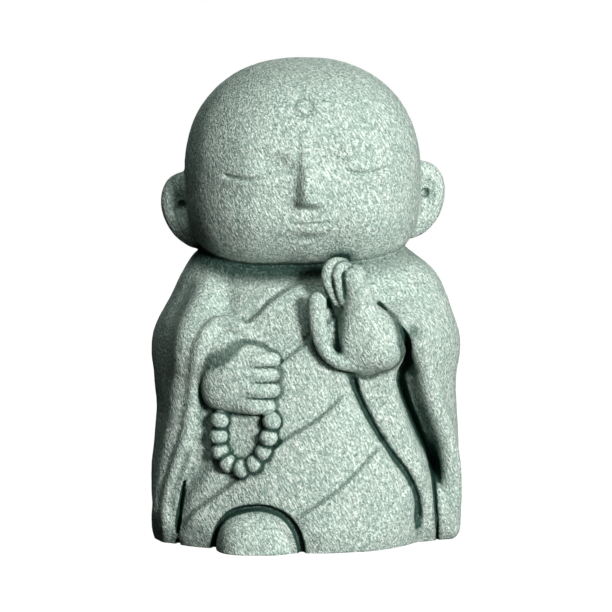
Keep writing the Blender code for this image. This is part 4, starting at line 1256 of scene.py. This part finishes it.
def sandstone():
    """Green-grey cast sandstone: grains of several tones, rough and dull, dark green wash and
    painted shade in hollows.
    """
    material = bpy.data.materials.new("green_sandstone_cast")
    material.use_nodes = True
    tree = material.node_tree
    surface = tree.nodes["Principled BSDF"]
    place = Value(tree, node(tree, "TexCoord").outputs["Object"])
    millimetres = node(tree, "VectorMath", {"operation": "SCALE"}, Vector=place, Scale=1000.0)
    place = Value(tree, millimetres.outputs["Vector"])

    def noise_of(scale, detail, roughness, at=place):
        made = node(tree, "TexNoise", Vector=at, Scale=scale, Detail=detail, Roughness=roughness)
        return Value(tree, made.outputs["Fac"])

    def grains_of(scale):
        made = node(tree, "TexVoronoi", Vector=place, Scale=scale)
        split = node(tree, "SeparateColor", Color=Value(tree, made.outputs["Color"]))
        return Value(tree, made.outputs["Distance"]), Value(tree, split.outputs[0])

    def numbers_of(name):
        return Value(tree, node(tree, "Attribute", {"attribute_name": name}).outputs["Fac"])

    # The strokes lean to the left, as seen from the front, across the key light's way. All scales
    # are per millimetre.
    turned = node(tree, "Mapping", Vector=place, Rotation=(0.0, STROKE_LEAN, 0.0))
    turned = Value(tree, turned.outputs[0])
    strokes = node(tree, "Mapping", Vector=turned, Scale=STROKE_STRETCH)
    strokes = Value(tree, strokes.outputs[0])
    distance, tone = grains_of(3.0)
    fine_tone = grains_of(4.8)[1]
    soft = noise_of(1.7, 3.0, 0.65)
    stroke = noise_of(3.4, 1.5, 0.55, at=strokes)
    fine_stroke = noise_of(6.0, 1.0, 0.5, at=strokes)
    patches = noise_of(0.22, 3.0, 0.55)

    crevice, hollow, painted = (numbers_of(name) for name in ("crevice", "hollow", "wash_and_shade"))

    base = mixed(tree, ramp(tree, patches, 0.35, 0.65), PALE_PATCH, PALER_PATCH)
    # Painted shade and highlight: darker green in the hollows, and strokes painted darker and
    # lighter as on side-lit grain
    for value, low, high, start, end, colour in (
        (hollow, 0.20, 0.75, 0.0, 0.55, WASH_AND_SHADE_IN_HOLLOWS),
        (stroke, 0.60, 0.36, 0.0, 0.58, GRAIN_STROKE_SHADE),
        (stroke, 0.52, 0.70, 0.0, 0.55, GRAIN_STROKE_HIGHLIGHT),
        (tone, 0.0, 0.22, 0.45, 0.0, DARK_GRAIN),
        (fine_tone, 0.88, 0.96, 0.0, 0.50, BRIGHT_FLECK),
        (fine_tone, 0.12, 0.04, 0.0, 0.60, DARK_FLECK),
    ):
        base = mixed(tree, ramp(tree, value, low, high, start, end), base, colour)
    # Painted shade with the wash: dark green in creases and hollows, along the listed lines and
    # seams, and under the chin
    depth = crevice * 0.9 + hollow * 0.40 + (soft - 0.5) * 0.30
    wash_and_shade = (ramp(tree, depth, 0.30, 0.85) * 0.85 + painted * (1.0 + (soft - 0.5) * 0.6)).clamped()
    base = mixed(tree, wash_and_shade * WASH_AND_SHADE_COVER, base, GREEN_WASH_AND_SHADE)
    put(tree, surface.inputs["Base Color"], base)

    put(tree, surface.inputs["Roughness"], ramp(tree, tone, 0.0, 1.0, 0.95, 0.70, "LINEAR"))
    surface.inputs["Specular IOR Level"].default_value = SHEEN

    height = (1.0 - distance * 1.3) * 0.25 + soft * 0.35 + stroke * 0.9 + fine_stroke * 0.35
    bump = node(tree, "Bump", Height=height, Strength=1.0, Distance=RELIEF)
    put(tree, surface.inputs["Normal"], Value(tree, bump.outputs["Normal"]))
    return material


def area_light(name, azimuth, elevation, size, power, colour):
    """A soft light on the figure. Azimuth 0 is the camera's side, and 90 the photo's right."""
    light = bpy.data.lights.new(name, "AREA")
    light.shape, light.size, light.energy, light.color = "DISK", size, power, colour
    lamp = bpy.data.objects.new(name, light)
    bpy.context.scene.collection.objects.link(lamp)
    a, e = math.radians(azimuth), math.radians(elevation)
    back = Vector((math.sin(a) * math.cos(e), -math.cos(a) * math.cos(e), math.sin(e)))
    lamp.location = Vector((0, 0, 0.5 * HEIGHT)) + back * LIGHT_DISTANCE
    lamp.rotation_mode = "QUATERNION"
    lamp.rotation_quaternion = back.to_track_quat("Z", "Y")
    lamp.visible_camera = False


def studio():
    """A white floor and sweep that light nothing, the lights, and a dim world."""
    white = bpy.data.materials.new("studio_white")
    white.use_nodes = True
    surface = white.node_tree.nodes["Principled BSDF"]
    for name, value in (
        ("Base Color", (0.06, 0.06, 0.06, 1)),
        ("Roughness", 1.0),
        ("Specular IOR Level", 0.0),
        ("Emission Color", (1, 1, 1, 1)),
        ("Emission Strength", 1.0),
    ):
        surface.inputs[name].default_value = value
    floor, sweep = bmesh.new(), bmesh.new()
    bmesh.ops.create_cone(
        floor,
        cap_ends=True,
        segments=96,
        radius1=FLOOR_RADIUS,
        radius2=FLOOR_RADIUS,
        depth=FLOOR_THICKNESS,
    )
    bmesh.ops.translate(floor, verts=floor.verts, vec=(0, 0, -FLOOR_THICKNESS / 2 - FLOOR_GAP))
    bmesh.ops.create_uvsphere(sweep, u_segments=96, v_segments=48, radius=SWEEP_RADIUS)
    bmesh.ops.reverse_faces(sweep, faces=sweep.faces)
    for name, bm in (("floor", floor), ("sweep", sweep)):
        mesh = bpy.data.meshes.new(name)
        bm.to_mesh(mesh)
        bm.free()
        mesh.shade_smooth()
        mesh.materials.append(white)
        thing = bpy.data.objects.new(name, mesh)
        bpy.context.scene.collection.objects.link(thing)
        thing.visible_diffuse = thing.visible_glossy = thing.visible_transmission = False
        thing.visible_shadow = False
    for light in LIGHTS:
        area_light(*light)
    world = bpy.data.worlds.new("studio")
    world.use_nodes = True
    background = world.node_tree.nodes["Background"]
    background.inputs["Color"].default_value = WORLD_COLOUR
    background.inputs["Strength"].default_value = WORLD_STRENGTH
    bpy.context.scene.world = world
    bpy.context.scene.view_settings.view_transform = "Standard"


def camera():
    """The photo's view."""
    lens = bpy.data.cameras.new("photo_view")
    view = bpy.data.objects.new("photo_view", lens)
    bpy.context.scene.collection.objects.link(view)
    back = Vector((0, -math.cos(PHOTO_ELEVATION), math.sin(PHOTO_ELEVATION)))
    view.location = Vector((0, 0, PHOTO_TARGET * HEIGHT)) + back * PHOTO_DISTANCE * HEIGHT
    view.rotation_mode = "QUATERNION"
    view.rotation_quaternion = back.to_track_quat("Z", "Y")
    lens.sensor_width = 36.0
    lens.lens = lens.sensor_width * PHOTO_DISTANCE * FIGURE_SIDE / PHOTO_SIDE
    lens.shift_x, lens.shift_y = (shift / PHOTO_SIDE for shift in PHOTO_SHIFT)
    lens.clip_start, lens.clip_end = 0.01, 10.0
    bpy.context.scene.camera = view


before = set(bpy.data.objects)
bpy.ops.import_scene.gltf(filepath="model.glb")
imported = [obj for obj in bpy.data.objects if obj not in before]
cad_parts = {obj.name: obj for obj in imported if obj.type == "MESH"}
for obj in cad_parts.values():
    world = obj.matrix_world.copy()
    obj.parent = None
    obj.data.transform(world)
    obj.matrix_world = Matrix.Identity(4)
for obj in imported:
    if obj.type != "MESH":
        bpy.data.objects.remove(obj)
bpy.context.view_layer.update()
piece = carve_figure()
piece.data.materials.clear()
piece.data.materials.append(sandstone())
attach(piece, "root")
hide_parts("monk_figurine")
camera()
studio()
